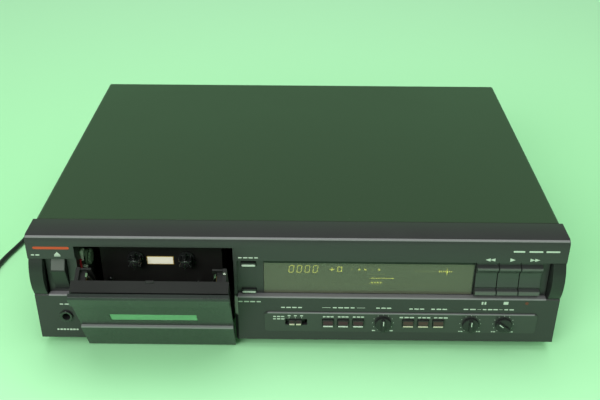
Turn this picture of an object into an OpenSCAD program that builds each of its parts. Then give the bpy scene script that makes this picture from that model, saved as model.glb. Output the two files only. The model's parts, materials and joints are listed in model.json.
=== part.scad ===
// Front-loading stereo cassette deck, 430 mm component width, with its cassette door standing open.
// X runs to the right, Y to the rear and Z up. The origin is on the shelf, under the middle of the deck.
// Inside the modules Y = 0 is the plane of the front panel and Z = 0 is its lower edge.

/* [Body] */
// Width of the front panel
fascia_w = 430; // [426:1:436]
// Height of the front panel
fascia_h = 101; // [100:0.5:103]
// Depth of the front panel's rim, from its face to the cover
rim_d = 26.7; // [26:0.1:28]
// Depth of the body, from the panel's face to the rear of the cover
body_d = 316; // [290:1:340]
// Width of the sheet-steel top cover
cover_w = 426.6; // [424:0.2:427]
// Height of the feet
foot_h = 9; // [8:0.5:14]
// Thickness of the steel sheet
sheet = 1.2; // [1:0.1:1.5]

/* [Front panel] */
// Wall of the moulded front panel
wall = 2.5; // [2.2:0.1:2.8]
// Height of the upper edge of the recessed middle zone
recess_top = 80; // [79.5:0.5:80.5]
// Height of the lower edge of the recessed middle zone, the bright ledge
recess_bottom = 44.5; // [44:0.5:45]
// Depth of the recessed middle zone
recess_d = 5.5; // [5:0.1:6]
// How far the end pieces bulge forward of the panel
end_bulge = 4; // [3:0.5:5]
// Centre height of the row of small controls
row_z = 19.6; // [19:0.1:20.2]
// Diameter of the three rotary knobs
knob_dia = 13.6; // [13:0.1:14]
// Bore of the headphone socket
phones_bore = 6.4; // [6.35:0.01:6.5]

/* [Cassette door] */
// Centre of the cassette well across the panel
well_x = -114; // [-114.25:0.25:-113.75]
// Width of the cassette well
well_w = 126.2; // [126.1:0.1:126.9]
// Width of the door
door_w = 125.1; // [124.5:0.1:125.1]
// How far the door stands open
door_angle = 27; // [0:1:27]
// Distance of the hinge behind the panel's face
hinge_y = 31; // [30:0.5:32]
// Height of the hinge
hinge_z = 3; // [2.5:0.5:3.5]
// Distance between the two reel spindles
reel_pitch = 42.5; // [42:0.1:43]

/* [Mains lead] */
// Diameter of the mains lead
cord_dia = 4.6; // [4.4:0.1:4.8]

/* [Hidden] */
$fn = 48;

e = 0.01;                      // overshoot of a cut
gap = 0.3;                     // free space between pieces that move past each other
run = 0.05;                    // radial play of a running fit

// Front panel
end_w = 11.2;                  // width of the power key and of the right end cap
bulge_r = 34.3;                // radius of the bulging end pieces
bulge_z = 61.5;                // height at which they bulge most
end_back = 11.5;               // rear face of the end pieces
key_travel = 2.5;              // stroke of the power and eject keys
ledge_cut = 0.8;
top_cut = 3.5;                 // rounding of the panel's top edge, as a bevel
notch_bevel = 2.6;             // bevel of the panel's edge to the right of the door

// Cassette well and door
well_l = well_x - well_w / 2;
well_r = well_x + well_w / 2;
well_top = 91.9;
door_l = well_x - door_w / 2;
door_r = well_x + door_w / 2;
door_top = 91.4;
door_bottom = 6.8;
door_step = 78.7;              // lower edge of the door's upper band
door_ledge = 40.4;
door_recess = 2.5;             // depth of the door's recess
door_back = 5;                 // rear face of the door's skin
door_edge = 1.5;               // bevel of the door's top edge
door_skin = 2.4;
window_w = 70;                 // cassette window in the door
window_x = well_x - 1;
window_z0 = 48.6;
window_z1 = 59.4;
holder_w = 118.5;              // outer width of the cassette holder
holder_wall = 3;
pocket_w = 103;                // space for the 100.4 mm cassette
pocket_y0 = 16.5;
pocket_y1 = 26.6;
pocket_z0 = 28;                // floor of the pocket
lip_y = 28.1;                  // rear face of the holder's rear lips
arm_r = 4.4;                   // eye of the holder's arms around the hinge
pin_r = 1.5;                   // hinge pin

// Tape mechanism
plate_y = 29.6;                // front face of the mechanism plate
plate_t = 1.9;
plate_w = 102;
plate_z0 = 9;
plate_z1 = 88;
reel_z = 62.4;
reel_r = 5.8;
reel_tip = 18;
capstan_x = well_x + 29.6;
capstan_z = 37;
capstan_r = 1.25;
flywheel_r = 18.5;
flywheel_y = 37;
motor_x = well_x - 30;
motor_z = 30;
pulley_r = 5;
roller_z = 24.4;
roller_r = 6;

// Door damper: a toothed sector on the holder turns a small gear
gear_n = 12;
gear_m = 1;
gear_r = gear_n * gear_m / 2;
sector_r = 51;
sector_n = 2 * sector_r / gear_m;
sector_t = 2.4;
gear_angle = 87;               // direction from the hinge to the gear, from +Y towards +Z
gear_y = hinge_y + (sector_r + gear_r) * cos(gear_angle);
gear_z = hinge_z + (sector_r + gear_r) * sin(gear_angle);
sector_x = well_x - holder_w / 2 - sector_t;

// Keys
rocker_x = 144.6;
rocker_pitch = 17.7;
rocker_w = 17.1;
rocker_z = 62.5;
rocker_y = 11;
shaft_r = 1.5;
small_w = 9.3;
small_h = 7.4;
small_pitch = 12.5;
tape_x = 26.2;
filter_x = 92.6;
knob_x = [71.8, 144.3, 171.6];
strip_x0 = -26.5;
strip_x1 = 199;
strip_z0 = 9.5;
strip_z1 = 29.4;
strip_out = 1.3;               // how far the strip's upper edge stands out
slider_x = -0.3;
eject_x = -198.2;
eject_w = 12;
counter_z = [45.1, 71.2];      // lower edges of the two counter keys
phones_x = -191.4;
phones_z = 23;
board_y = 15;                  // front control board
board_t = 1.6;

foot_x = 172;
foot_y = [52, 282];

// Rear
cord_x = -150;
cord_exit_z = 26;
relief_len = 30;
jack_x = [70, 88, 106, 124];
jack_z = 60;
jack_r = 4.15;
jack_len = 8;

// The row's frame: the middle of the depth, from the open door to the rear sockets, is at Y = 0
door_front = hinge_y - hinge_y * cos(door_angle) - (door_top - door_edge - hinge_z) * sin(door_angle);
jack_end = body_d + 1.5 + jack_len;
shift_y = -(door_front + jack_end) / 2;

// Mains lead, in the row's frame: its free stretch, then a coil and a short tail to the plug
cord_r = cord_dia / 2;
rear_y = shift_y + body_d;
coil_c = [-328, -104];
coil_r = 26;                   // radius at the middle of the turns
cord_route = [
    [cord_x, rear_y + relief_len, foot_h + cord_exit_z],
    [cord_x, rear_y + relief_len + 14, 33],
    [cord_x - 3, rear_y + relief_len + 28, 26],
    [cord_x - 10, rear_y + relief_len + 40, 15],
    [cord_x - 22, rear_y + relief_len + 49, 7],
    [cord_x - 38, rear_y + relief_len + 52, 3.4],
    [cord_x - 56, rear_y + relief_len + 48, 2.4],
    [cord_x - 74, rear_y + relief_len + 36, 2.4],
    [cord_x - 90, rear_y + relief_len + 14, 2.4],
    [-252, 150, 2.4],
    [-262, 118, 2.4],
    [-270, 84, 2.4],
    [-275, 50, 2.4],
    [-280, 16, 2.4],
    [-289.5, -20, 2.4],
    [-294.6, -56, 2.4],
    [-295.2, -80, 2.5],
    [-295.1, -104, 2.5]
];
tail_route = [
    [coil_c[0] - 29.5, coil_c[1] + 14, 7],
    [coil_c[0] - 29.6, coil_c[1] + 20, 5.6],
    [coil_c[0] - 29.4, coil_c[1] + 27, 3.6],
    [coil_c[0] - 27.6, coil_c[1] + 37, 2.7],
    [coil_c[0] - 23.4, coil_c[1] + 48, 3.8],
    [coil_c[0] - 17.5, coil_c[1] + 59, 6.4]
];
plug_at = [coil_c[0] - 17.5, coil_c[1] + 59, 0];
plug_turn = -30;

module placed() translate([0, shift_y, foot_h]) children();
module block(a, b) translate(a) cube(b - a);
module along_x(x0, x1) translate([x0, 0, 0]) rotate([90, 0, 90]) linear_extrude(x1 - x0) children();
module along_y(y0, y1) translate([0, y0, 0]) rotate([-90, 0, 0]) mirror([0, 1, 0])
    linear_extrude(y1 - y0) children();
module rod_x(r, x0, x1) translate([x0, 0, 0]) rotate([0, 90, 0]) cylinder(r = r, h = x1 - x0);
module rod_y(r, y0, y1) translate([0, y0, 0]) rotate([-90, 0, 0]) cylinder(r = r, h = y1 - y0);
module opened() translate([0, hinge_y, hinge_z]) rotate([door_angle, 0, 0])
    translate([0, -hinge_y, -hinge_z]) children();
module round_rect(x0, x1, z0, z1, r) {
    translate([x0 + r, z0]) square([x1 - x0 - 2 * r, z1 - z0]);
    translate([x0, z0 + r]) square([x1 - x0, z1 - z0 - 2 * r]);
    for (x = [x0 + r, x1 - r], z = [z0 + r, z1 - r]) translate([x, z]) circle(r);
}

// ---------------------------------------------------------------- case

module chassis_pan() placed() color("lightgray") difference() {
    union() {
        block([-212, rim_d + gap, 1], [212, body_d - sheet, 1 + sheet]);
        for (x = [-212, 212 - sheet])
            block([x, rim_d + gap, 1], [x + sheet, body_d - sheet, 16]);
        // upright front frame behind the panel, on both sides of the well
        block([-212 + sheet, rim_d + gap, 1], [well_l - 5.2, rim_d + gap + sheet, 97]);
        block([well_r + 3, rim_d + gap, 1], [212 - sheet, rim_d + gap + sheet, 97]);
    }
    // free space under the door and its hinge
    block([well_l + 1, 0, 0], [well_r - 1, 40, 4]);
}

module cover_section(d) {
    r = 3 - d;
    round_rect(-cover_w / 2 + d, cover_w / 2 - d, fascia_h - 30, fascia_h + 0.3 - d, r);
    translate([-cover_w / 2 + d, 1.5 - d]) square([cover_w - 2 * d, fascia_h - 20]);
}
module top_cover() placed() color("darkslategray") along_y(rim_d + 0.2, body_d) difference() {
    cover_section(0);
    cover_section(sheet);
}

module rear_panel() placed() color("dimgray") difference() {
    union() {
        block([-211.5, body_d - sheet, 1], [211.5, body_d, fascia_h - 1.1]);
        block([-210.5, body_d - 10, fascia_h - 2.3], [210.5, body_d - sheet, fascia_h - 1.1]);
    }
    for (x = jack_x) translate([x, 0, jack_z]) rod_y(3, body_d - 2, body_d + 1);
    translate([cord_x, 0, cord_exit_z]) rod_y(4, body_d - 2, body_d + 1);
}

fascia_outline = [
    [0, 0.6], [0.6, 0], [rim_d, 0], [rim_d, fascia_h], [4.2, fascia_h], [1.2, fascia_h - 1.4],
    [0, fascia_h - top_cut], [0, recess_top], [recess_d, recess_top], [recess_d, recess_bottom],
    [ledge_cut, recess_bottom], [0, recess_bottom - ledge_cut]
];
fascia_hollow = [
    [wall, wall], [rim_d + 1, wall], [rim_d + 1, fascia_h - wall], [5, fascia_h - wall],
    [wall, fascia_h - 5], [wall, recess_top + wall], [recess_d + wall, recess_top + wall],
    [recess_d + wall, recess_bottom - wall], [wall, recess_bottom - wall]
];

module small_key_places() {
    for (i = [0:2]) translate([tape_x + i * small_pitch, 0, row_z - 0.5]) children();
    for (i = [0:2]) translate([filter_x + i * small_pitch, 0, row_z]) children();
}
module panel_cuts() {
    small_key_places() block([-small_w / 2 - gap, -5, -small_h / 2 - gap],
                             [small_w / 2 + gap, 5, small_h / 2 + gap]);
    for (x = knob_x) translate([x, 0, row_z]) rod_y(4, -5, 5);
    block([slider_x - 9.1, -5, row_z - 3.2], [slider_x + 9.1, 5, row_z + 3.2]);
}

module fascia() placed() color("darkslategray") difference() {
    union() {
        difference() {
            along_x(-fascia_w / 2, fascia_w / 2) polygon(fascia_outline);
            along_x(-fascia_w / 2 + wall, fascia_w / 2 - wall) polygon(fascia_hollow);
        }
        // walls beside the cassette well
        block([well_l - wall, wall, wall], [well_l, rim_d, fascia_h - wall]);
        block([well_r, wall, wall], [well_r + wall, rim_d, fascia_h - wall]);
        // lugs that carry the shaft of the rocker keys
        for (x = [rocker_x - 3.4, rocker_x + 3 * rocker_pitch + 0.4])
            block([x, recess_d + wall - e, rocker_z - 4.5], [x + 2.4, rocker_y + 3, rocker_z + 4.5]);
    }
    block([well_l, -10, -1], [well_r, rim_d + 1, well_top]);
    translate([well_r, 0, -1]) linear_extrude(recess_bottom + 1)
        polygon([[-e, -e], [notch_bevel, -e], [-e, notch_bevel]]);
    // places of the power key and the right end cap
    block([-fascia_w / 2 - 1, -1, recess_bottom - e],
          [-fascia_w / 2 + end_w + 0.5, end_back + 0.4, recess_top + e]);
    block([fascia_w / 2 - end_w, -1, recess_bottom], [fascia_w / 2 + 1, end_back, recess_top]);
    // display window
    block([-27, 0, recess_bottom + 0.5], [143.4, 10, recess_top - 0.3]);
    // rocker keys
    block([rocker_x - 0.6, 0, recess_bottom + 0.5],
          [rocker_x + 3 * rocker_pitch, recess_d + wall + 1, recess_top - 0.1]);
    translate([0, rocker_y, rocker_z]) rod_x(shaft_r, rocker_x - 4, rocker_x + 3 * rocker_pitch + 4);
    // eject and counter keys
    block([eject_x - 0.3, 0, 46.9], [eject_x + eject_w + 0.3, 9, recess_top - 0.3]);
    for (z = counter_z) block([-45.3, 0, z - 0.3], [-32.7, 9, z + 4.5]);
    translate([phones_x, 0, phones_z]) rod_y(5.5, -1, wall + 1);
    panel_cuts();
}

module bulged_end(x0, x1, back) intersection() {
    translate([0, bulge_r - end_bulge, bulge_z]) rod_x(bulge_r, x0, x1);
    block([x0, -10, recess_bottom + 0.4], [x1, back, recess_top - 0.4]);
}
module right_end_cap() placed() color("darkslategray") intersection() {
    bulged_end(fascia_w / 2 - end_w + 0.8, fascia_w / 2, end_back);
    block([0, -10, 0], [fascia_w / 2, end_back, fascia_h]);
}

module control_strip() placed() color("darkslategray") difference() {
    intersection() {
        along_x(strip_x0, strip_x1)
            polygon([[0, strip_z0], [0, strip_z1], [0.3 - strip_out, strip_z1],
                     [-strip_out, strip_z1 - 0.4], [-0.15, strip_z0]]);
        along_y(-5, 5) round_rect(strip_x0, strip_x1, strip_z0, strip_z1, 3);
    }
    panel_cuts();
}

module display_window() placed() color("darkolivegreen")
    block([-26.8, recess_d - 0.3, recess_bottom + 0.7], [143.2, recess_d + 2, recess_top - 0.5]);
module display_tube() placed() color("black") {
    block([-16, 8.6, 50], [136, 11.6, 77]);
    block([-13, 11.6, 52], [-9, board_y, 75]);
    block([129, 11.6, 52], [133, board_y, 75]);
}

module front_board() placed() color("darkgreen") difference() {
    union() {
        block([-46, board_y, 7], [201, board_y + board_t, 95]);
        small_key_places() block([-4, 9, -3.2], [4, board_y, 3.2]);
        for (z = counter_z) block([-43, 13, z - 1], [-35, board_y, z + 5]);
        block([slider_x - 8, 7.4, row_z - 4], [slider_x + 8, board_y, row_z + 4]);
        // spacers to the front frame
        for (x = [-38, 60, 192], z = [12, 90])
            translate([x, 0, z]) rod_y(3, board_y + board_t, rim_d + gap);
    }
    for (x = knob_x) translate([x, 0, row_z]) rod_y(4, 5, 20);
    for (i = [0:2]) translate([rocker_x + (i + 0.5) * rocker_pitch, 0, rocker_z])
        block([-7, board_y - 1, -14], [7, board_y + 2, 14]);
}
module control_pots() placed() color("silver") for (x = knob_x) translate([x, 0, row_z])
    difference() {
        union() {
            rod_y(7.6, 8, board_y - e);
            rod_y(3.9, 3.4, 8);
        }
        rod_y(3 + run, 3, 14);
    }
module phones_jack() placed() color("black") translate([phones_x, 0, phones_z]) difference() {
    union() {
        rod_y(5.5, -1.4, 12);
        rod_y(7, wall, 5.5);
        block([-8, 12, -7], [8, 25, 7]);
    }
    rod_y(phones_bore / 2, -2, 24);
}

module feet() placed() color("black") for (x = [-foot_x, foot_x], y = foot_y) translate([x, y, -foot_h])
    difference() {
        union() {
            cylinder(r1 = 12, r2 = 13.5, h = 2);
            translate([0, 0, 2]) cylinder(r1 = 13.5, r2 = 15, h = foot_h - 1);
        }
        translate([0, 0, -e]) cylinder(r = 4.5, h = 5);
    }

module pan_screw() {
    cylinder(r = 3.6, h = 1.6);
    translate([0, 0, 1.6]) cylinder(r1 = 3.6, r2 = 2.4, h = 0.8);
}
module case_screws() placed() color("black") {
    for (s = [-1, 1], y = [70, 250]) translate([s * cover_w / 2, y, 50]) rotate([0, 90 * s, 0]) pan_screw();
    for (x = [-195, 0, 195]) translate([x, body_d, 94]) rotate([-90, 0, 0]) pan_screw();
    for (x = [-195, -100, 20, 195]) translate([x, body_d, 8]) rotate([-90, 0, 0]) pan_screw();
}

// ---------------------------------------------------------------- electronics

module main_board() placed() color("darkgreen") {
    block([-30, 50, 10], [200, 300, 11.6]);
    for (x = [-24, 194], y = [56, 294]) translate([x, y, 1 + sheet]) cylinder(r = 3, h = 9 - sheet);
    block([30, 120, 11.6], [62, 132, 17]);
    block([90, 150, 11.6], [122, 162, 17]);
    block([-10, 220, 11.6], [0, 280, 40]);
}
module mains_transformer() placed() color("orange") {
    block([-196, 196, 1 + sheet], [-184, 264, 50]);
    block([-146, 196, 1 + sheet], [-134, 264, 50]);
    block([-184, 196, 1 + sheet], [-146, 208, 50]);
    block([-184, 252, 1 + sheet], [-146, 264, 50]);
    translate([-165, 230, 8]) cylinder(r = 18, h = 48);
}
module filter_capacitors() placed() color("navy")
    for (p = [[20, 250], [44, 250], [20, 276], [44, 276], [150, 90], [170, 90]])
        translate([p[0], p[1], 11.6]) cylinder(r = 9, h = 28);
module power_switch() placed() color("black") block([-211, 16, 54], [-198, rim_d, 70]);

module line_jacks() placed() color("gold") {
    difference() {
        block([60, body_d, jack_z - 12], [134, body_d + 1.5, jack_z + 12]);
        for (x = jack_x) translate([x, 0, jack_z]) rod_y(1.7, body_d - 1, body_d + 2);
    }
    for (x = jack_x) translate([x, 0, jack_z]) difference() {
        rod_y(jack_r, body_d + 1.5, jack_end);
        rod_y(1.7, body_d, jack_end + 1);
    }
}

// ---------------------------------------------------------------- tape mechanism

module mechanism_plate() placed() color("dimgray") {
    difference() {
        union() {
            block([well_x - plate_w / 2, plate_y, plate_z0],
                  [well_x + plate_w / 2, plate_y + plate_t, plate_z1]);
            for (x = [-plate_w / 2, plate_w / 2 - sheet]) {
                block([well_x + x, plate_y, plate_z0 + 1], [well_x + x + sheet, 62, plate_z1]);
                block([well_x + x, 44, 1 + sheet], [well_x + x + sheet, 62, plate_z0 + 2]);
            }
            for (x = [-plate_w / 2, plate_w / 2 - 10])
                block([well_x + x, 44, 1 + sheet], [well_x + x + 10, 62, 1 + 2 * sheet]);
            translate([capstan_x, 0, capstan_z]) rod_y(4, plate_y, flywheel_y - 0.6);
            for (z = [14, 52]) translate([motor_x, 0, z]) rod_y(3, plate_y, 45);
            block([motor_x - 18, 45, 10], [motor_x + 18, 46.5, 56]);
        }
        translate([capstan_x, 0, capstan_z]) rod_y(capstan_r + run, 20, 50);
        translate([motor_x, 0, motor_z]) rod_y(4, 44, 48);
    }
    for (s = [-1, 1]) translate([well_x + s * reel_pitch / 2, 0, reel_z]) rod_y(1.2, reel_tip + 2, plate_y);
}
module hinge_brackets() placed() color("silver") for (s = [0, 1]) translate([2 * s * well_x, 0, 0])
    mirror([s, 0, 0])
    difference() {
        x = well_x - holder_w / 2 + holder_wall + 0.6;
        union() {
            translate([0, hinge_y, hinge_z]) rod_x(3, x, x + 3);
            block([x, hinge_y, 1 + sheet], [x + 3, 43.5, hinge_z + 3]);
        }
        translate([0, hinge_y, hinge_z]) rod_x(pin_r + run, x - 1, x + 4);
    }
module hinge_pin() placed() color("silver") opened() translate([0, hinge_y, hinge_z])
    rod_x(pin_r, well_x - holder_w / 2, well_x + holder_w / 2);

// One tooth, thinned for backlash, with its root towards the wheel's centre
module tooth() polygon([[-1.2, -0.6], [0, -0.62], [0.5, -0.3], [0.5, 0.3], [0, 0.62], [-1.2, 0.6]]);
module damper_gear() placed() color("white") translate([0, gear_y, gear_z]) {
    along_x(sector_x + 0.1, sector_x + sector_t - 0.5) {
        circle(gear_r - 0.9);
        for (i = [0:gear_n - 1]) rotate(gear_angle + 180 + i * 360 / gear_n) translate([gear_r, 0]) tooth();
    }
    rod_x(1.5, sector_x - 5, sector_x + 0.3);
}
module damper_housing() placed() color("white") {
    difference() {
        translate([0, gear_y, gear_z]) rod_x(6.5, sector_x - 6, sector_x - 0.6);
        translate([0, gear_y, gear_z]) rod_x(1.5 + run, sector_x - 5.4, sector_x);
    }
    difference() {
        block([well_l - 14, rim_d + gap + sheet, gear_z - 6],
              [sector_x - 2, rim_d + gap + 3 * sheet, gear_z + 6]);
        translate([0, gear_y, gear_z]) rod_x(6.5, sector_x - 6, sector_x);
    }
}

module capstan_motor() placed() color("silver") translate([motor_x, 0, motor_z]) {
    rod_y(17, 46.5, 74);
    rod_y(1, 44.4, 46.5);
}
module motor_pulley() placed() color("gold") translate([motor_x, 0, motor_z]) {
    rod_y(pulley_r, flywheel_y + 1.6, flywheel_y + 6.4);
    rod_y(pulley_r + 1, flywheel_y + 0.6, flywheel_y + 1.4);
    rod_y(3, flywheel_y + 1.2, flywheel_y + 7);
}
module belt_line(d) hull() {
    translate([capstan_x, capstan_z]) circle(flywheel_r + d);
    translate([motor_x, motor_z]) circle(pulley_r + d);
}
module drive_belt() placed() color("black") along_y(flywheel_y + 2, flywheel_y + 6) difference() {
    belt_line(gap + 0.8);
    belt_line(gap);
}
module flywheel() placed() color("silver") translate([capstan_x, 0, capstan_z]) difference() {
    union() {
        rod_y(flywheel_r, flywheel_y, flywheel_y + 8);
        rod_y(capstan_r, 19.4, flywheel_y + 14);
        rod_y(5, flywheel_y + 8, flywheel_y + 11);
    }
    difference() {
        rod_y(flywheel_r - 5, flywheel_y + 4, flywheel_y + 9);
        rod_y(8, flywheel_y + 3, flywheel_y + 10);
    }
}
module reel_motor() placed() color("silver") translate([well_x - 16, 0, 75]) {
    rod_y(11.5, plate_y + plate_t, 58);
    rod_y(3, 58, 60);
}
module head_base() placed() color("silver") {
    block([well_x - 38, 27.2, 9.5], [well_x + 38, 28.6, 23.5]);
    translate([capstan_x, 0, roller_z]) rod_y(1.2, 17.2, 27.2);
}
module tape_heads() placed() color("silver") {
    block([well_x - 6.5, 19, 12], [well_x + 6.5, 27.2, 24]);
    translate([well_x, 0, 21]) intersection() {
        rod_y(6.2, 19, 27.2);
        block([-8, 18, 0], [8, 28, 8]);
    }
    block([well_x - 22, 20, 12], [well_x - 12, 27.2, 24]);
}
module pinch_roller() placed() color("black") translate([capstan_x, 0, roller_z]) difference() {
    rod_y(roller_r, 17.8, 26.6);
    rod_y(1.2 + run, 17, 27);
}
module reel_spindle(s) placed() color("dimgray") translate([well_x + s * reel_pitch / 2, 0, reel_z])
    difference() {
        union() {
            rod_y(4.2, reel_tip + 1.2, plate_y - 0.4);
            rod_y(3.1, reel_tip, reel_tip + 1.3);
            rod_y(7, plate_y - 2, plate_y - 0.4);
            for (i = [0:5]) rotate([0, 60 * i, 0]) block([-0.9, reel_tip + 1.2, 0], [0.9, plate_y - 2, reel_r]);
        }
        rod_y(1.2 + run, reel_tip + 1.8, plate_y);
    }
module reel_spindle_left() reel_spindle(-1);
module reel_spindle_right() reel_spindle(1);

// ---------------------------------------------------------------- cassette door

door_outline = [
    [0, door_bottom], [door_back, door_bottom], [door_back, door_top], [door_edge, door_top],
    [0, door_top - door_edge], [0, door_step], [door_recess, door_step], [door_recess, door_ledge],
    [ledge_cut, door_ledge], [0, door_ledge - ledge_cut]
];
module door_cover() placed() color("darkslategray") opened() difference() {
    along_x(door_l, door_r) polygon(door_outline);
    block([window_x - window_w / 2, 0, window_z0], [window_x + window_w / 2, 10, window_z1]);
    block([door_l + 3, door_skin, door_bottom - 1], [door_r - 3, 6, door_ledge - 5]);
}
module door_window() placed() color("green") opened()
    block([window_x - window_w / 2, door_recess + 0.5, window_z0],
          [window_x + window_w / 2, door_back, window_z1]);

module sector() along_x(sector_x, sector_x + sector_t) translate([hinge_y, hinge_z])
    difference() {
        union() {
            intersection() {
                union() {
                    circle(sector_r - 0.9, $fn = 96);
                    for (i = [-9:14]) rotate(gear_angle + (i + 0.5) * 360 / sector_n - door_angle)
                        translate([sector_r, 0]) tooth();
                }
                polygon([[0, 0], [70 * cos(57), 70 * sin(57)], [20, 80], [-70 * cos(71), 70 * sin(71)]]);
            }
        }
        circle(sector_r - 7);
    }
module cassette_holder() placed() color("gray") opened() {
    difference() {
        union() {
            for (s = [0, 1]) translate([2 * s * well_x, 0, 0]) mirror([s, 0, 0]) {
                // side wall, rear lip, pocket floor and arm of one side
                block([well_x - holder_w / 2, 8, 22], [well_x - holder_w / 2 + holder_wall, lip_y, 91]);
                block([well_x - holder_w / 2, pocket_y1, 24], [well_x - holder_w / 2 + 11.5, lip_y, 90]);
                block([well_x - holder_w / 2, pocket_y0 - 2, 25.5],
                      [well_x - holder_w / 2 + 16, lip_y, pocket_z0]);
                // guide beside the cassette
                block([well_x - holder_w / 2 + 1, pocket_y0 - 1, 34], [well_x - pocket_w / 2, lip_y, 87]);
                block([well_x - holder_w / 2, hinge_y - arm_r, hinge_z],
                      [well_x - holder_w / 2 + holder_wall, hinge_y + arm_r, 14]);
                along_x(well_x - holder_w / 2, well_x - holder_w / 2 + holder_wall)
                    polygon([[8, 22], [hinge_y - arm_r, 8], [hinge_y + arm_r, 12], [lip_y, 26], [10, 30]]);
                translate([0, hinge_y, hinge_z])
                    rod_x(arm_r, well_x - holder_w / 2, well_x - holder_w / 2 + holder_wall);
            }
            // front wall with its upper bar and ribs up to the door's skin
            block([well_x - holder_w / 2, pocket_y0 - 2, 24], [well_x + holder_w / 2, pocket_y0, 91]);
            block([door_l + 1, door_back + 1.2, 88.6], [door_r - 1, pocket_y0, 91]);
            for (z = [36, 66])
                block([well_x - 50, door_back, z], [well_x + 50, pocket_y0, z + 2]);
            sector();
        }
        block([well_x - 33, 10, 46], [well_x + 33, 20, 61]);
        translate([0, hinge_y, hinge_z]) rod_x(pin_r, well_x - 60, well_x + 60);
    }
}
module holder_springs() placed() color("gold") opened() for (s = [-1, 1]) {
    x = well_x + s * (pocket_w / 2 - 0.3);
    block([x - 0.3, 19, 62], [x + 0.3, 24, 86]);
    block([x - 0.3 - s * 0.4, 19, 70], [x + 0.3 - s * 0.4, 24, 74]);
}

// ---------------------------------------------------------------- keys and knobs

module power_key() placed() color("dimgray") {
    bulged_end(-fascia_w / 2 + 0.1, -fascia_w / 2 + end_w, end_back - key_travel);
    block([-fascia_w / 2 + wall + gap, end_back - key_travel - 1, recess_bottom + 1],
          [-fascia_w / 2 + end_w, end_back, recess_top - 1]);
    translate([-fascia_w / 2 + end_w / 2, 0, 62]) rod_y(2, end_back, 13);
}
module eject_key() placed() color("dimgray") {
    along_x(eject_x, eject_x + eject_w) polygon([
        [7.5, 79], [4.6, 79], [-1.2, 69.3], [-1.5, 68.5], [-1, 67.6], [5, 47.6], [7.5, 47.2]
    ]);
    block([eject_x - 1.5, 8.3, 48.2], [eject_x + eject_w + 1.5, 9.5, 78]);
    block([eject_x + 2, 7.5, 49], [eject_x + eject_w - 2, 8.3, 77]);
    translate([eject_x + eject_w / 2, 0, 65]) rod_y(2, 9.5, 12.5);
}
rocker_face = [
    [8, 78.9], [3.2, 78.9], [3.2, 76.4], [-0.4, 74.9], [-0.8, 74], [-0.7, 72.6], [1.7, 70.2], [3, 67],
    [2.4, 59], [1.4, 55.4], [2.4, 53.6], [-0.5, 52.4], [-1, 51.4], [-1, 49.2], [2.6, 45.9], [8, 45.9]
];
module rocker(i) placed() color("dimgray") {
    x = rocker_x + i * rocker_pitch;
    difference() {
        union() {
            along_x(x, x + rocker_w) polygon(rocker_face);
            translate([0, rocker_y, rocker_z]) rod_x(3.6, x + 1, x + rocker_w - 1);
            block([x + 1, 7, rocker_z - 3.6], [x + rocker_w - 1, rocker_y, rocker_z + 3.6]);
        }
        translate([0, rocker_y, rocker_z]) rod_x(shaft_r + run, x - 1, x + rocker_w + 1);
    }
}
module rewind_key() rocker(0);
module play_key() rocker(1);
module forward_key() rocker(2);
module rocker_shaft() placed() color("silver") translate([0, rocker_y, rocker_z])
    rod_x(shaft_r, rocker_x - 3.4, rocker_x + 3 * rocker_pitch + 2.8);

module counter_key(z) placed() color("dimgray") {
    block([-45, 3.6, z], [-33, 8.4, z + 4.2]);
    block([-46.4, 8.4, z - 1], [-31.6, 9.4, z + 5.2]);
    block([-41, 9.4, z + 1], [-37, 10.8, z + 3.2]);
}
module counter_memory_key() counter_key(counter_z[0]);
module counter_reset_key() counter_key(counter_z[1]);

module small_key(x, z) placed() color("dimgray") translate([x, 0, z]) {
    block([-small_w / 2, -2.6, -small_h / 2], [small_w / 2, 3.1, small_h / 2]);
    block([-small_w / 2 - 1.2, 3.1, -small_h / 2 - 1], [small_w / 2 + 1.2, 4.2, small_h / 2 + 1]);
    block([-2, 4.2, -2], [2, 7, 2]);
}
module tape_key(i) small_key(tape_x + i * small_pitch, row_z - 0.5);
module filter_key(i) small_key(filter_x + i * small_pitch, row_z);
module tape_key_1() tape_key(0);
module tape_key_2() tape_key(1);
module tape_key_3() tape_key(2);
module filter_key_1() filter_key(0);
module filter_key_2() filter_key(1);
module filter_key_3() filter_key(2);

module timer_slider() placed() color("dimgray") translate([slider_x - 0.8, 0, row_z]) {
    block([-5.4, -2.4, -2.8], [5.4, 3, 2.8]);
    block([-0.6, -3.4, -2.8], [0.6, -2.4, 2.8]);
    block([-8, 3, -4.4], [8, 4.2, 4.4]);
    block([-2, 4.2, -1.4], [2, 6.6, 1.4]);
}

module knob(i, turn) placed() color("dimgray") translate([knob_x[i], 0, row_z]) {
    rod_y(knob_dia / 2, -4.4, -1.5);
    rotate([0, turn, 0]) block([-1.5, -6.8, -knob_dia / 2 + 0.4], [1.5, -4.4, knob_dia / 2 - 0.4]);
    rod_y(3, -1.5, 12.6);
}
module output_knob() knob(0, 0);
module balance_knob() knob(1, 0);
module record_level_knob() knob(2, -52);

// ---------------------------------------------------------------- mains lead

module strain_relief() color("black") translate([cord_x, rear_y, foot_h + cord_exit_z]) rotate([-90, 0, 0]) {
    cylinder(r = 7, h = 3);
    translate([0, 0, 3]) cylinder(r1 = 5.6, r2 = 3.1, h = relief_len - 3);
}

function unit(v) = v / norm(v);
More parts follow.
